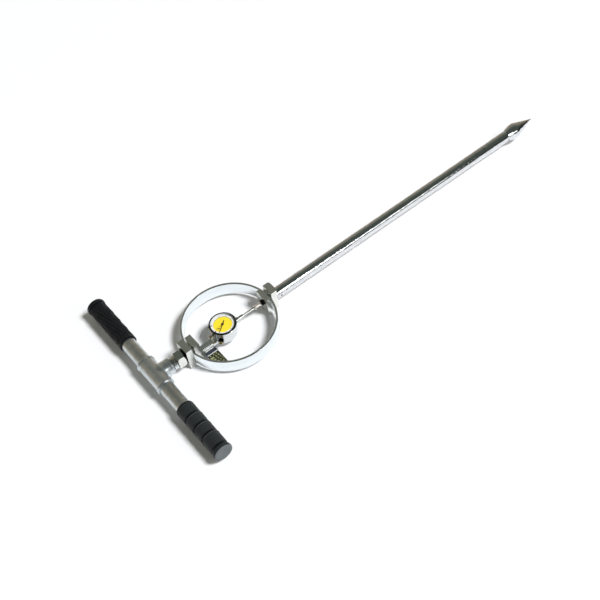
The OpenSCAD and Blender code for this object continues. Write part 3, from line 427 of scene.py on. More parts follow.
acrylic.node_tree.links.new(mixed.outputs[0], acrylic.node_tree.nodes["Material Output"].inputs["Surface"])
print("crystal of index", rim.inputs["IOR"].default_value)

# %% [markdown]
# ## Finishes on the solids
# A solid whose shape is right only needs its finish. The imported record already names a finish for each
# node, so a table from that name to the material made above dresses them all at once.

# %% Dress the solids
FINISHES = {
    "grip_rubber": rubber, "galvanised_steel": galvanised, "bright_zinc": zinc, "machined_steel": milled,
    "rod_steel": drawn, "screw_steel": plated, "black_oxide": blackened, "bracket_metal": ground,
    "gauge_chrome": chrome, "gauge_steel": turned_steel, "brass": brass, "dial_yellow": dial_yellow,
    "scale_white": scale_white, "hand_black": hand_lacquer, "crystal": acrylic, "plate_black": plate_enamel,
}
for node in nodes.values():
    slot_name = node.data.materials[0].name.split(".")[0]
    node.material_slots[0].material = FINISHES[slot_name]
print("dressed:", len(nodes), "solids")

# %% [markdown]
# ## Broken edges
# No machined block leaves a shop with knife edges: they are filed or tumbled, and the little rounding
# is what catches the light. The blocks keep their CAD shape, so the rounding is left to live
# modifiers: Weld joins the loose triangles, Decimate takes out the flat seams between them, and Bevel
# rounds what is still sharp.

# %% Round the blocks' edges
EDGES = {
    "handle_outer_block": 0.7, "handle_inner_block": 0.7, "rod_inner_block": 0.7, "rod_outer_block": 0.7,
    "lock_nut": 0.5, "gauge_bracket": 0.5, "bezel_clamp": 0.3, "rating_plate": 0.15,
}
WELD_GAP, FLAT_ANGLE, SHARP_ANGLE = 0.005, math.radians(0.5), math.radians(35)
for name, rounding in EDGES.items():
    weld = nodes[name].modifiers.new("join_triangles", "WELD")
    weld.merge_threshold = WELD_GAP * MM
    flat = nodes[name].modifiers.new("flat_faces", "DECIMATE")
    flat.decimate_type = "DISSOLVE"
    flat.angle_limit = FLAT_ANGLE
    edge = nodes[name].modifiers.new("broken_edges", "BEVEL")
    edge.width = rounding * MM
    edge.segments = 2
    edge.limit_method = "ANGLE"
    edge.angle_limit = SHARP_ANGLE
    edge.harden_normals = True
print("edges rounded on", len(EDGES), "solids")

# %% [markdown]
# ## Turning on the lathe
# Grips, ring, tee, cone and knobs are all round, and the hand way to make a round piece in Blender is the
# Spin tool: draw half the outline as a chain of extruded points, then spin it about the axis. One
# plane is collapsed to a point to start the chain. Spin can leave doubled points and flipped faces, so
# these are merged and turned outwards straight after.

# %% The lathe
DOUBLES_GAP = 0.003


def turn(name, outline, centre, axis, steps=96):
    """Spins an outline of (millimetres along the axis, millimetres out from it) about the axis."""
    bpy.ops.object.select_all(action="DESELECT")
    along = Vector(axis)
    out = along.orthogonal().normalized()
    points = [Vector(centre) + (along * a + out * r) * MM for a, r in outline]
    bpy.ops.mesh.primitive_plane_add(size=MM, location=points[0])
    piece = bpy.context.object
    piece.name = piece.data.name = name
    bpy.ops.object.transform_apply(location=True)
    bpy.ops.object.mode_set(mode="EDIT")
    bpy.ops.mesh.merge(type="CENTER")
    for here, there in zip(points, points[1:]):
        bpy.ops.mesh.extrude_region_move(TRANSFORM_OT_translate={"value": there - here})
    bpy.ops.mesh.select_all(action="SELECT")
    bpy.ops.mesh.spin(steps=steps, angle=2 * math.pi, center=centre, axis=axis)
    bpy.ops.mesh.select_all(action="SELECT")
    bpy.ops.mesh.remove_doubles(threshold=DOUBLES_GAP * MM)
    bpy.ops.mesh.normals_make_consistent(inside=False)
    bpy.ops.object.mode_set(mode="OBJECT")
    bpy.ops.object.shade_smooth_by_angle(angle=SHARP_ANGLE)
    return piece


def pick(piece, wanted):
    """Opens a piece in edit mode with the points selected whose place is wanted."""
    bpy.ops.object.select_all(action="DESELECT")
    bpy.context.view_layer.objects.active = piece
    piece.select_set(True)
    bpy.context.tool_settings.mesh_select_mode = (True, False, False)
    bpy.ops.object.mode_set(mode="EDIT")
    bpy.ops.mesh.select_all(action="DESELECT")
    bpy.ops.object.mode_set(mode="OBJECT")
    for vertex in piece.data.vertices:
        vertex.select = wanted(vertex.co)
    bpy.ops.object.mode_set(mode="EDIT")


def finish_piece(piece, material, body, slot_name, *stands_for):
    """Gives a new piece its material, the body it rides on and the nodes it stands for; slot_name is not
    used.
    """
    piece.data.materials.clear()
    piece.data.materials.append(material)
    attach(piece, body)
    if stands_for:
        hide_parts(*stands_for)
    print(piece.name, "has", len(piece.data.polygons), "faces and rides on", body)


print("lathe ready, points closer than", DOUBLES_GAP, "mm are merged")

# %% [markdown]
# ## The grips
# Each grip is a moulded rubber sleeve with a closed, flanged end. One side is plain, with three finger
# notches and a groove of the same shape before the flange: the sleeve tapers towards each, drops into
# it, and rises again in a lip. The other side is cut like bark, in short staggered ridges that run
# lengthwise. The outline is turned with a ring of points every few millimetres, the notch rings are slid
# sideways so that they bite deep on one side and fade on the other, and filled up again on the bark. The
# bark is made by sinking a few rows of points in every seven, and each short length of grip is shifted
# round and cut wider or narrower than the last. The left grip sits with its bark up, the right one with
# it down.

# %% Grip outline
NOTCHES = (32.0, 58.0, 84.0)
NOTCH_W, NOTCH_R, LIP_R, LIP_W = 6.0, 16.5, 18.6, 1.6
GRIP_R, FLANGE_R, BORE_R, GRIP_L, FLANGE_L, END_T = 18.2, 19.0, 15.05, 124.0, 8.0, 4.0
TAPER, STATION, AFTER_MOUTH, AFTER_LIP = 0.5, 3.0, 1.6, 1.0
# Pairs of a place along the axis and a radius: from the open end, from the edge of a lip, and back from
# the closed end.
MOUTH = ((1.4, BORE_R), (0.5, 15.4), (0, 16.2), (0, 16.9), (0.5, 17.7))
NOTCH = ((-5.1, 16.7), (-0.5, NOTCH_R), (0, 18.3), (0.5, LIP_R), (LIP_W, 18.5))
CLOSED_END = ((5.8, FLANGE_R), (1.5, FLANGE_R), (0.5, 18.5), (0, 17.4), (0, 9.5), (0.4, 8.6), (0.4, 0))


def grip_outline():
    """Inside of the bore, mouth, four tapered lengths with a notch after each, flange and end."""
    points = [(GRIP_L - END_T, 0), (GRIP_L - END_T, BORE_R), *MOUTH]
    start = AFTER_MOUTH
    for stop in NOTCHES + (GRIP_L - FLANGE_L,):
        length = stop - NOTCH_W - start
        count = round(length / STATION)
        for i in range(count + 1):
            share = i / count
            points.append((start + length * share, GRIP_R - TAPER * share ** 2))
        points += [(stop + past, out) for past, out in NOTCH]
        start = stop + LIP_W + AFTER_LIP
    return points + [(GRIP_L - back, out) for back, out in CLOSED_END]


print("grip outline has", len(grip_outline()), "points")

# %% Grips
BITE = 1.2
BARK_STEPS, BARK_DEPTH, BARK_LENGTH, BARK_REACH, BARK_FROM = 120, 1.6, 11.0, 80, 5.0
BARK_PERIOD, BARK_SHIFTS, BARK_SUNK = 7, (0, 3, 1, 5, 2), (3, 2, 4)
PAST_BORE_R, SKIN_R, MOUTH_L, DISH_T = 15.2, 17.4, 4.0, 0.6
NOTCH_INSIDE, LIP_CREST, DEEP_SIDE = (-5.5, -0.2), (-0.1, 1.4), (-130, -70)
# Colour values from darkest 0 to palest 1: the first is fresh rubber with painted shade, the fourth a painted
# highlight on the lip crests, the fifth wear and painted sheen on the end.
FRESH_AND_SHADED, PLAIN_WORN, RIDGE_WORN, LIP_SHEEN, END_WEAR_AND_SHEEN = 0.0, 0.12, 0.03, 0.6, 0.8


def make_grip(node, side, bark_side):
    """side: 1 for a grip that points along y, -1 against it. bark_side: 1 for bark up, -1 for down."""
    low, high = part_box(node)
    middle = (low + high) / 2
    open_y = low.y if side > 0 else high.y
    mouth = (middle.x, open_y, middle.z)
    piece = turn(node + "_moulded", grip_outline(), mouth, (0, side, 0), BARK_STEPS)

    def along(co):
        return (co.y - open_y) * side / MM

    def out(co):
        return math.hypot(co.x - middle.x, co.z - middle.z) / MM

    def angle(co):
        return math.degrees(math.atan2((co.x - middle.x) * -bark_side, (co.z - middle.z) * bark_side))

    def on_bark(co):
        return abs(angle(co)) < BARK_REACH

    def in_notch(co):
        first, last = NOTCH_INSIDE
        return out(co) > PAST_BORE_R and any(first < along(co) - notch < last for notch in NOTCHES)

    def sunk(co):
        length = math.floor(along(co) / BARK_LENGTH)
        row = round(angle(co) / (360 / BARK_STEPS)) + BARK_SHIFTS[length % len(BARK_SHIFTS)]
        width = BARK_SUNK[(length + row // BARK_PERIOD) % len(BARK_SUNK)]
        inside = BARK_FROM < along(co) < GRIP_L - FLANGE_L - NOTCH_W
        return on_bark(co) and inside and row % BARK_PERIOD < width and out(co) > SKIN_R

    pick(piece, lambda co: in_notch(co) and on_bark(co))
    fill = (GRIP_R - TAPER) / NOTCH_R
    bpy.ops.transform.resize(value=(fill, 1, fill), center_override=middle)
    bpy.ops.object.mode_set(mode="OBJECT")
    pick(piece, lambda co: in_notch(co) and not on_bark(co))
    bpy.ops.transform.translate(value=(-bark_side * BITE * MM, 0, 0))
    bpy.ops.object.mode_set(mode="OBJECT")
    pick(piece, sunk)
    bpy.ops.transform.shrink_fatten(value=-BARK_DEPTH * MM)
    bpy.ops.object.mode_set(mode="OBJECT")

    def wear(co):
        """Deep in notches and bark the rubber is fresh and darkest, with painted shade. angle: 0 mid bark,
        -90 the deep side.
        """
        # The closed end is painted light: partly wear from the ground, partly painted sheen.
        if along(co) > GRIP_L - DISH_T:
            return END_WEAR_AND_SHEEN
        # Notches, bark grooves and the mouth stay darkest: fresh rubber and painted shade.
        if out(co) < SKIN_R or along(co) < MOUTH_L:
            return FRESH_AND_SHADED
        if on_bark(co):
            return RIDGE_WORN
        past = min((along(co) - notch for notch in NOTCHES), key=abs)
        on_lip = LIP_CREST[0] < past < LIP_CREST[1]
        # The lip crests get a painted highlight, except on the deep side.
        if on_lip and not DEEP_SIDE[0] < angle(co) < DEEP_SIDE[1]:
            return LIP_SHEEN
        return PLAIN_WORN

    wear_and_painted_light = piece.data.attributes.new("wear_and_painted_light", "FLOAT", "POINT")
    for vertex, value in zip(piece.data.vertices, wear_and_painted_light.data):
        value.value = wear(vertex.co)
    finish_piece(piece, rubber, "handle_side", "grip_rubber", node)


make_grip("grip_left", 1, 1)
make_grip("grip_right", -1, -1)

# %% [markdown]
# ## The proving ring
# The ring is the instrument's spring: a flat band of steel that gives a little when the rod is pushed.
# Its band is turned with softly rounded rims, which draw the thin dark line round its top.

# %% Proving ring
low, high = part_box("proving_ring")
middle = (low + high) / 2
OUTER, BAND = (high.x - low.x) / 2 / MM, (high.z - low.z) / MM
BAND_T, RIM, RIM_STEPS, RING_STEPS = 4.5, 0.7, 3, 192
quarter = [math.pi / 2 * step / RIM_STEPS for step in range(RIM_STEPS + 1)]
rim_arc = [(RIM * (1 - math.cos(a)), RIM * (1 - math.sin(a))) for a in quarter]
band_outline = [(up, OUTER - cut) for up, cut in rim_arc]
band_outline += [(BAND - up, OUTER - cut) for up, cut in reversed(rim_arc)]
band_outline += [(BAND - up, OUTER - BAND_T + cut) for up, cut in rim_arc]
band_outline += [(up, OUTER - BAND_T + cut) for up, cut in reversed(rim_arc)]
band_outline.append(band_outline[0])
ring = turn("proving_ring_band", band_outline, (middle.x, middle.y, low.z), (0, 0, 1), RING_STEPS)
finish_piece(ring, zinc, "handle_side", "bright_zinc", "proving_ring")
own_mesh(ring)

# %% [markdown]
# ## The cast tee
# The tee is a malleable iron casting: a run with a bead at each mouth, chamfered where the pipe goes in,
# and a branch that grows out of it through a soft fillet. Two turned bodies are joined by a Boolean, the
# bores are cut, and a voxel Remesh with a few rounds of Smooth melts the hard join into the fillet that a
# mould leaves.

# %% Tee outlines
low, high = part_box("pipe_tee")
tube_low, tube_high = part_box("handle_tube_left")
nipple_low, nipple_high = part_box("nipple")
grip_axis = ((tube_low.x + tube_high.x) / 2, 0, (tube_low.z + tube_high.z) / 2)
HALF_RUN, BRANCH_L = high.y / MM, (high.x - grip_axis[0]) / MM
NIPPLE_R = (nipple_high.y - nipple_low.y) / 2 / MM
RUN_R, BEAD_R, BEAD_L, BEAD_EDGE, BEAD_SLOPE = 17.8, 19.0, 5.6, 2.6, 0.9
BRANCH_R, COLLAR_L, COLLAR_H, COLLAR_SLOPE = 16.5, 4.0, 0.4, 1.0
BRANCH_SWELL = ((0, 17.0), (11, 19.4), (14, 18.2), (18, 17.0), (23, BRANCH_R))
STOP_HALF, STOP_R, PASSAGE_R, SOCKET_FROM, SOCKET_FIT, OVERRUN = 10.0, 12.4, 7.8, 20.0, 0.04, 1.0
mouth = [
    (HALF_RUN, 0), (HALF_RUN, BEAD_R - BEAD_EDGE), (HALF_RUN - BEAD_EDGE, BEAD_R),
    (HALF_RUN - BEAD_L, BEAD_R), (HALF_RUN - BEAD_L - BEAD_SLOPE, RUN_R),
]
run_outline = [(-a, r) for a, r in mouth] + [(a, r) for a, r in reversed(mouth)]
branch_outline = [
    (0, 0), *BRANCH_SWELL, (BRANCH_L - COLLAR_L - COLLAR_SLOPE, BRANCH_R),
    (BRANCH_L - COLLAR_L, BRANCH_R + COLLAR_H), (BRANCH_L, BRANCH_R + COLLAR_H), (BRANCH_L, 0),
]
past_run, past_branch, socket_r = HALF_RUN + OVERRUN, BRANCH_L + OVERRUN, NIPPLE_R + SOCKET_FIT
half_bore = [(past_run, 0), (past_run, BORE_R), (STOP_HALF, BORE_R), (STOP_HALF, STOP_R)]
run_bore = [(-a, r) for a, r in half_bore] + [(a, r) for a, r in reversed(half_bore)]
branch_bore = [
    (0, 0), (0, PASSAGE_R), (SOCKET_FROM, PASSAGE_R), (SOCKET_FROM, socket_r), (past_branch, socket_r),
    (past_branch, 0),
]
print("the tee's run is", round(2 * HALF_RUN, 1), "mm long, its branch", round(BRANCH_L, 1), "mm")

# %% Tee
VOXEL, SMOOTH_SHARE, SMOOTH_ROUNDS = 0.6, 0.5, 4
SOFTENING = {
    "REMESH": {"mode": "VOXEL", "voxel_size": VOXEL * MM},
    "SMOOTH": {"factor": SMOOTH_SHARE, "iterations": SMOOTH_ROUNDS},
}


def combine(piece, other, how):
    """Joins or cuts one piece with another, which is used up."""
    bpy.ops.object.select_all(action="DESELECT")
    bpy.context.view_layer.objects.active = piece
    piece.select_set(True)
    bpy.ops.object.modifier_add(type="BOOLEAN")
    tool = piece.modifiers[-1]
    tool.operation, tool.object = how, other
    bpy.ops.object.modifier_apply(modifier=tool.name)
    bpy.data.objects.remove(other)


tee = turn("pipe_tee_cast", run_outline, grip_axis, (0, 1, 0))
combine(tee, turn("branch", branch_outline, grip_axis, (1, 0, 0)), "UNION")
combine(tee, turn("run_bore", run_bore, grip_axis, (0, 1, 0)), "DIFFERENCE")
combine(tee, turn("branch_bore", branch_bore, grip_axis, (1, 0, 0)), "DIFFERENCE")
for kind, settings in SOFTENING.items():
    bpy.ops.object.select_all(action="DESELECT")
    bpy.context.view_layer.objects.active = tee
    tee.select_set(True)
    bpy.ops.object.modifier_add(type=kind)
    for name, value in settings.items():
        setattr(tee.modifiers[-1], name, value)
    bpy.ops.object.modifier_apply(modifier=tee.modifiers[-1].name)
bpy.ops.object.shade_smooth()
finish_piece(tee, casting, "handle_side", "galvanised_steel", "pipe_tee")

# %% [markdown]
# ## The threaded nipple
# Between the tee and the lock nut a few turns of pipe thread show. A thread is one ridge that winds
# round a core, so the core is turned and a single triangle is swept by a Screw modifier, one pitch
# for each turn. The ridge runs on into the tee and the nut, as a real one does. Its pitch is coarser than
# a pipe thread's true 2.3 mm, so that single turns still show in the picture.

# %% Nipple
rod_axis_z = (nipple_low.z + nipple_high.z) / 2
THREAD_FROM, THREAD_TO, THREAD_EDGE, THREAD_DEPTH, CREST_FIT = 10.0, 27.0, 0.6, 1.5, 0.02
SHOULDER_AT, NIPPLE_L, TAIL_R = 44.0, 52.0, 10.0
CREST_R = NIPPLE_R - CREST_FIT
ROOT_R = CREST_R - THREAD_DEPTH
core_outline = [
    (0, PASSAGE_R), (0, NIPPLE_R), (THREAD_FROM, NIPPLE_R), (THREAD_FROM + THREAD_EDGE, ROOT_R),
    (THREAD_TO, ROOT_R), (THREAD_TO + THREAD_EDGE, NIPPLE_R), (SHOULDER_AT, NIPPLE_R),
    (SHOULDER_AT, TAIL_R), (NIPPLE_L, TAIL_R), (NIPPLE_L, PASSAGE_R), (0, PASSAGE_R),
]
nipple = turn("nipple_threaded", core_outline, (nipple_low.x, 0, rod_axis_z), (1, 0, 0))
print("thread from radius", round(ROOT_R, 2), "to", round(CREST_R, 2), "mm")

# %% Thread
PITCH, TURNS, RIDGE_FROM, RIDGE_SHARE, TURN_STEPS = 3.8, 4, 11.2, 0.86, 48
TRIANGLE_TALL, TRIANGLE_WIDE = 1.5, math.sqrt(3)  # of a triangle whose corners lie at radius 1
bpy.ops.object.select_all(action="DESELECT")
bpy.ops.mesh.primitive_circle_add(
    vertices=3, radius=MM, location=(nipple_low.x + RIDGE_FROM * MM, 0, rod_axis_z),
    rotation=(math.pi / 2, 0, 0),
)
ridge = bpy.context.object
bpy.ops.object.transform_apply(location=False, rotation=True)
bpy.ops.object.mode_set(mode="EDIT")
bpy.ops.mesh.select_all(action="SELECT")
triangle_h = (CREST_R - ROOT_R) / TRIANGLE_TALL
triangle_w = RIDGE_SHARE * PITCH / TRIANGLE_WIDE
bpy.ops.transform.resize(value=(triangle_w, 1, triangle_h), center_override=ridge.location)
bpy.ops.transform.translate(value=(0, 0, (CREST_R - triangle_h) * MM))
bpy.ops.object.mode_set(mode="OBJECT")
bpy.ops.object.modifier_add(type="SCREW")
winding = ridge.modifiers[-1]
winding.axis = "X"
winding.screw_offset = PITCH * MM
winding.iterations = TURNS
winding.steps = winding.render_steps = TURN_STEPS
bpy.ops.object.modifier_apply(modifier=winding.name)
bpy.ops.object.transform_apply(location=True)
bpy.ops.object.mode_set(mode="EDIT")
bpy.ops.mesh.select_all(action="SELECT")
bpy.ops.mesh.remove_doubles(threshold=DOUBLES_GAP * MM)
bpy.ops.mesh.select_all(action="DESELECT")
bpy.ops.mesh.select_non_manifold()
bpy.ops.mesh.fill_holes(sides=4)
bpy.ops.mesh.select_all(action="SELECT")
bpy.ops.mesh.normals_make_consistent(inside=False)
bpy.ops.object.mode_set(mode="OBJECT")
bpy.ops.object.shade_smooth_by_angle(angle=SHARP_ANGLE)
nipple.select_set(True)
bpy.context.view_layer.objects.active = nipple
bpy.ops.object.join()
finish_piece(nipple, plated, "handle_side", "galvanised_steel", "nipple")

# %% [markdown]
# ## The cone
# The point is a hardened cone that screws into the end of the rod. Behind its base it swells out from a
# short neck in a rounded flare, which gathers the window into one bright oval, where a straight taper
# would draw it out into a stripe. So it is turned again, with the flare as a quarter of a sine wave and
# a tip that is rounded as any used tip is.

# %% Cone
cone_low, cone_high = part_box("cone")
BASE_R, SHOULDER_R, NECK_R, STUD_R = (cone_high.z - cone_low.z) / 2 / MM, 11.5, 10.0, 5.5
NECK_L, FLARE_L, FLARE_STEPS, LAND_L, POINT_L = 3.0, 25.0, 16, 1.5, 50.5
TIP_R, TIP_L = 0.24, 0.4
tip = (cone_high.x - cone_low.x) / MM
flare_from = tip - POINT_L - LAND_L - FLARE_L
neck_from = flare_from - NECK_L
cone_outline = [(0, 0), (0, STUD_R), (neck_from, STUD_R), (neck_from, NECK_R), (flare_from, NECK_R)]
for step in range(FLARE_STEPS + 1):
    share = step / FLARE_STEPS
    swelling = math.sin(share * math.pi / 2)
    cone_outline.append((flare_from + FLARE_L * share, SHOULDER_R + (BASE_R - SHOULDER_R) * swelling))
cone_outline += [(flare_from + FLARE_L + LAND_L, BASE_R), (tip - TIP_L, TIP_R), (tip, 0)]
cone_axis_z = (cone_low.z + cone_high.z) / 2
cone = turn("cone_turned", cone_outline, (cone_low.x, 0, cone_axis_z), (1, 0, 0))
finish_piece(cone, drawn, "cone_point", "rod_steel", "cone")

# %% [markdown]
# ## The anvil
# The gauge's plunger rests on a screw in the rod's inner block. Its head and the collar before its lock
# nut are rounded, and round rims glint where flat ones would not, so it is turned with half-round rims.

# %% Anvil
anvil_low, anvil_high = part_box("anvil_screw")
HEAD_R, ANVIL_L = (anvil_high.z - anvil_low.z) / 2 / MM, (anvil_high.x - anvil_low.x) / MM
SHANK_R, HEAD_T, COLLAR_AT, COLLAR_R, ANVIL_STEPS = 4.0, 2.4, 13.0, 5.4, 64


def round_rim(start, thick, radius, steps=8):
    """Half-round rim of a collar, from its near to its far face."""
    turns = [math.pi * i / steps for i in range(steps + 1)]
    return [(start + thick / 2 * (1 - math.cos(a)), radius - thick / 2 * (1 - math.sin(a))) for a in turns]


anvil_outline = [(0, 0)] + round_rim(0, HEAD_T, HEAD_R) + [(HEAD_T, SHANK_R), (COLLAR_AT, SHANK_R)]
anvil_outline += round_rim(COLLAR_AT, HEAD_T, COLLAR_R) + [(COLLAR_AT + HEAD_T, SHANK_R), (ANVIL_L, SHANK_R)]
anvil_outline.append((ANVIL_L, 0))
anvil = turn("anvil_turned", anvil_outline, (anvil_low.x, 0, rod_axis_z), (1, 0, 0), ANVIL_STEPS)
finish_piece(anvil, dull_zinc, "anvil", "screw_steel", "anvil_screw")

# %% [markdown]
# ## Small knobs
# Two small turned pieces catch the eye beside the gauge: the pale nickel-silver cap over the plunger's
# tail and the flared brass screw that clamps the bezel. Both have a straight knurl for the fingers,
# made like the grips' bark by sinking every second row of points.

# %% Knurl
KNURL_STEPS, KNURL_SLACK = 48, 0.05


def knurl(piece, centre, axis, stations, radius, depth):
    """Sinks every second row of a round piece between two stations along its axis, all in mm."""
    along = Vector(axis)
    across = along.orthogonal().normalized()
    third = along.cross(across)

    def in_row(co):
        offset = (co - Vector(centre)) / MM
        angle = math.atan2(offset.dot(third), offset.dot(across))
        out = math.hypot(offset.dot(third), offset.dot(across))
        on_row = round(angle / (2 * math.pi / KNURL_STEPS)) % 2 == 0
        return on_row and out > radius - KNURL_SLACK and stations[0] < offset.dot(along) < stations[1]

    pick(piece, in_row)
    bpy.ops.transform.shrink_fatten(value=-depth * MM)
    bpy.ops.object.mode_set(mode="OBJECT")


print("a knurl has", KNURL_STEPS // 2, "ridges")

# %% Dust cap
dial_low, dial_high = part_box("dial_face")
gauge = Vector(((dial_low.x + dial_high.x) / 2, (dial_low.y + dial_high.y) / 2, rod_axis_z))
cap_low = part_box("dust_cap")[0]
CAP_R, CAP_KNURL, CAP_KNURL_DEPTH = 4.75, (1.2, 5.1), 0.3
# Rounded end, knurled drum, groove, rim, sleeve and the bore for the plunger's tail.
cap_outline = [
    (0, 0), (0, 2.6), (0.3, 3.9), (0.9, 4.55), (1.5, CAP_R), (4.9, CAP_R), (5.3, 4.3), (5.8, 4.3), (6.2, 4.6),
    (6.7, 4.6), (6.7, 4.0), (10.4, 4.0), (10.4, 2.05), (2.0, 2.05), (2.0, 0),
]
cap = turn("dust_cap_knurled", cap_outline, (cap_low.x, 0, rod_axis_z), (1, 0, 0), KNURL_STEPS)
knurl(cap, (cap_low.x, 0, rod_axis_z), (1, 0, 0), CAP_KNURL, CAP_R, CAP_KNURL_DEPTH)
finish_piece(cap, nickel_silver, "handle_side", "brass", "dust_cap")

# %% Clamp screw
CLAMP_AT = math.radians(225)
clamp_axis = (math.cos(CLAMP_AT), math.sin(CLAMP_AT), 0)
clamp_low, clamp_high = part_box("clamp_screw")
clamp_centre = Vector((gauge.x, gauge.y, (clamp_low.z + clamp_high.z) / 2))
SCREW_KNURL, SCREW_KNURL_R, SCREW_KNURL_DEPTH = (31.2, 34.0), 3.2, 0.28
# Shank, shoulder, flared head and rounded end, along a line from the middle of the gauge.
screw_outline = [
    (26.3, 0), (26.3, 1.5), (31.05, 1.5), (31.05, 2.9), (31.3, 3.25), (33.6, 4.2), (34.2, 4.3), (34.7, 4.1),
    (35.2, 3.6), (35.5, 2.9), (35.65, 2.0), (35.65, 0),
]
screw = turn("clamp_screw_knurled", screw_outline, clamp_centre, clamp_axis, KNURL_STEPS)
knurl(screw, clamp_centre, clamp_axis, SCREW_KNURL, SCREW_KNURL_R, SCREW_KNURL_DEPTH)
finish_piece(screw, brass, "clamp_knob", "brass", "clamp_screw")

# %% [markdown]
# ## The bezel's painted dark reflection
# The polished top of the bezel mirrors the dark room above it, so the white scale stands in a dark
# ring. That reflection is painted as a black film a few hundredths of a millimetre thick, turned as a
# band that lies on the flat and runs on down the bevel.

# %% Bezel ring
bezel_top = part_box("bezel")[1].z
PAINT_FILM_T, INNER_R, INNER_EDGE, FLAT_R, BEVEL_RUN, BEZEL_STEPS = 0.03, 23.55, 0.05, 25.9, 1.0, 128
painted_reflection_outline = [
    (0, INNER_R), (PAINT_FILM_T, INNER_R + INNER_EDGE), (PAINT_FILM_T, FLAT_R),
    (PAINT_FILM_T - BEVEL_RUN, FLAT_R + BEVEL_RUN), (-BEVEL_RUN, FLAT_R + BEVEL_RUN), (0, FLAT_R), (0, INNER_R),
]
painted_reflection_ring = turn("bezel_painted_reflection", painted_reflection_outline, (gauge.x, gauge.y, bezel_top), (0, 0, 1), BEZEL_STEPS)
finish_piece(painted_reflection_ring, dark_reflection_paint, "bezel_body", "black_oxide")

# %% [markdown]
# ## The dial's print
# The white ring carries a hundred fine lines, ten of them long and numbered, and the yellow card has a
# small counting circle. Print is a film of ink, so each line is a plane pulled up by a few hundredths
# of a millimetre. One line is made and then copied round the dial with Spin, which makes copies
# instead of a skin when it is asked for duplicates. Numerals are text made into mesh.

# %% Printing
INK_T = 0.05


def print_bar(name, centre, size, rise=INK_T):
    """A flat bar of ink or enamel: centre in metres, size in millimetres."""
    bpy.ops.object.select_all(action="DESELECT")
    bpy.ops.mesh.primitive_plane_add(size=MM, location=centre)
    bar = bpy.context.object
    bar.name = bar.data.name = name
    bpy.ops.object.transform_apply(location=True)
    bpy.ops.object.mode_set(mode="EDIT")
    bpy.ops.mesh.select_all(action="SELECT")
    bpy.ops.transform.resize(value=(size[0], size[1], 1), center_override=centre)
    bpy.ops.mesh.extrude_region_move(TRANSFORM_OT_translate={"value": (0, 0, rise * MM)})
    bpy.ops.mesh.select_all(action="SELECT")
    bpy.ops.mesh.normals_make_consistent(inside=False)
    bpy.ops.object.mode_set(mode="OBJECT")
    return bar


def join_all(pieces):
    """Joins several pieces into the first."""
    bpy.ops.object.select_all(action="DESELECT")
    for piece in pieces:
        piece.select_set(True)
    bpy.context.view_layer.objects.active = pieces[0]
    if len(pieces) > 1:
        bpy.ops.object.join()
    return pieces[0]


def spread_round(piece, copies, centre):
    """Copies a piece round an upright axis."""
    pick(piece, lambda co: True)
    bpy.ops.mesh.spin(
        steps=copies - 1, angle=2 * math.pi * (copies - 1) / copies, dupli=True, center=centre, axis=(0, 0, 1)
    )
    bpy.ops.object.mode_set(mode="OBJECT")


print("ink", INK_T, "mm thick")

# %% Scale lines and numerals
scale_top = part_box("scale_ring")[1].z
OUTER_LINE, NUMERAL_R, NUMERAL_H, NUMERALS = 23.3, 19.9, 2.3, 10
LINE_KINDS = ((100, 1.3, 0.16), (20, 1.9, 0.2), (10, 2.6, 0.3))  # number, length and width
lines = []
for copies, length, width in LINE_KINDS:
    spot = (gauge.x - (OUTER_LINE - length / 2) * MM, gauge.y, scale_top)
    line = print_bar("scale_lines", spot, (length, width))
    spread_round(line, copies, gauge)
    lines.append(line)
for tens in range(NUMERALS):
    angle = math.pi - math.radians(360 / NUMERALS * tens)
    spot = gauge + Vector((math.cos(angle), math.sin(angle), 0)) * NUMERAL_R * MM
    bpy.ops.object.select_all(action="DESELECT")
    bpy.ops.object.text_add(location=(spot.x, spot.y, scale_top), rotation=(0, 0, math.pi / 2))
    numeral = bpy.context.object
    numeral.data.body = str(tens * 10)
    numeral.data.size = NUMERAL_H * MM
    numeral.data.align_x, numeral.data.align_y = "CENTER", "CENTER"
    numeral.data.extrude = INK_T / 2 * MM
    numeral.data.resolution_u = 3
    bpy.ops.object.convert(target="MESH")
    bpy.ops.object.transform_apply(location=True, rotation=True)
    lines.append(bpy.context.object)
scale_print = join_all(lines)
finish_piece(scale_print, ink, "bezel_body", "hand_black")

# %% Counting circle
counter_low, counter_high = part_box("drive_wheel")
counter = ((counter_low.x + counter_high.x) / 2, (counter_low.y + counter_high.y) / 2, dial_high.z)
COUNT_R, COUNT_LINE, COUNT_STEPS = 4.7, 0.25, 64
MARKS, MARK_R, MARK_SIZE = 10, 4.0, (0.9, 0.22)
far_r = COUNT_R + COUNT_LINE
circle_outline = [(0, COUNT_R), (0, far_r), (INK_T, far_r), (INK_T, COUNT_R), (0, COUNT_R)]
circle = turn("counting_circle", circle_outline, counter, (0, 0, 1), COUNT_STEPS)
mark = print_bar("counting_lines", (counter[0] - MARK_R * MM, counter[1], counter[2]), MARK_SIZE)
spread_round(mark, MARKS, counter)
circle = join_all([circle, mark])
finish_piece(circle, ink, "handle_side", "hand_black")

# %% [markdown]
# ## The pointer's boss
# The long hand is riveted to a small domed boss of brown lacquered brass, which turns with it.

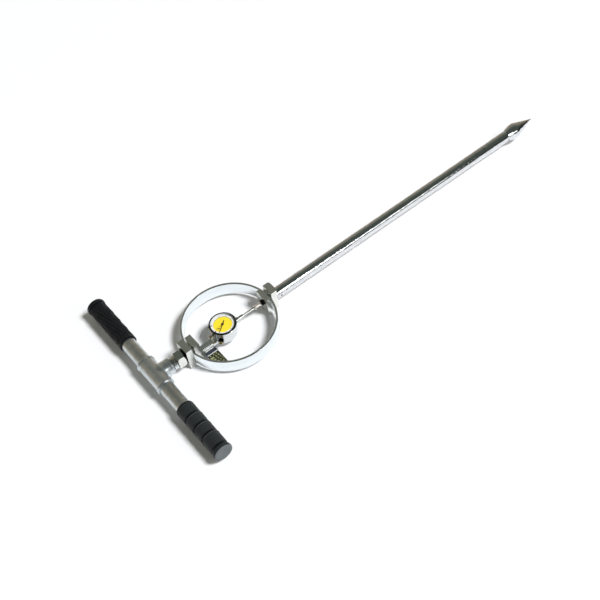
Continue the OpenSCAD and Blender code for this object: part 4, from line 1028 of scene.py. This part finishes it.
# %% Boss
pointer_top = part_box("main_pointer")[1].z
BOSS_R, BOSS_H, BOSS_STEPS = 2.7, 0.45, 32
DOME_SHARES = ((0, 1), (0.5, 0.94), (1, 0.6))  # of the height and of the radius
boss_outline = [(0, 0)] + [(BOSS_H * up, BOSS_R * out) for up, out in DOME_SHARES] + [(BOSS_H, 0)]
boss = turn("pointer_boss", boss_outline, (gauge.x, gauge.y, pointer_top), (0, 0, 1), BOSS_STEPS)
finish_piece(boss, boss_lacquer, "pointer_arbor", "hand_black")

# %% [markdown]
# ## The rating plate
# A small enamelled plate is riveted to the bracket's arm. A reader at arm's length sees only its
# layout: a navy strip between two white rules, and rows of pale olive fields on black. The fields stay
# blank.

# %% Plate fields
plate_low, plate_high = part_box("rating_plate")
PLATE_W, ENAMEL_T = 22.4, 0.08
strips = {"plate_strip": [], "plate_rule": [], "plate_fields": []}
mid_x = (plate_low.x + plate_high.x) / 2


def field(kind, x, y, w, h):
    """x from the plate's middle and y from its inner edge, in millimetres."""
    spot = (mid_x + x * MM, plate_high.y - y * MM, plate_high.z)
    strips[kind].append(print_bar(kind, spot, (w, h), ENAMEL_T))


# Whole bars have a place from the inner edge and a height, rows have these and then each field's place
# and width.
WHOLE_BARS = (("plate_rule", 5.6, 1.8), ("plate_strip", 11.0, 7.6), ("plate_rule", 16.2, 1.5))
ROWS = (
    (20.2, 3.0, ((-7.4, 2.6), (-0.6, 2.4), (5.4, 2.4))),
    (26.0, 4.4, ((-6.6, 7.0), (1.4, 2.0), (7.0, 2.6))),
    (31.8, 3.2, ((-5.0, 5.0), (2.2, 2.0), (8.0, 1.8))),
    (37.4, 2.8, ((-2.0, 3.4), (4.2, 2.4), (9.2, 1.6))),
    (43.2, 2.8, ((1.2, 2.8), (7.0, 2.8))),
    (49.0, 2.4, ((3.8, 2.4), (8.8, 2.0))),
)
for kind, y, tall in WHOLE_BARS:
    field(kind, 0, y, PLATE_W, tall)
for y, tall, bars in ROWS:
    for x, wide in bars:
        field("plate_fields", x, y, wide, tall)
ENAMELS = {"plate_strip": navy_enamel, "plate_rule": white_enamel, "plate_fields": green_enamel}
for kind, enamel in ENAMELS.items():
    finish_piece(join_all(strips[kind]), enamel, "handle_side", "plate_black")
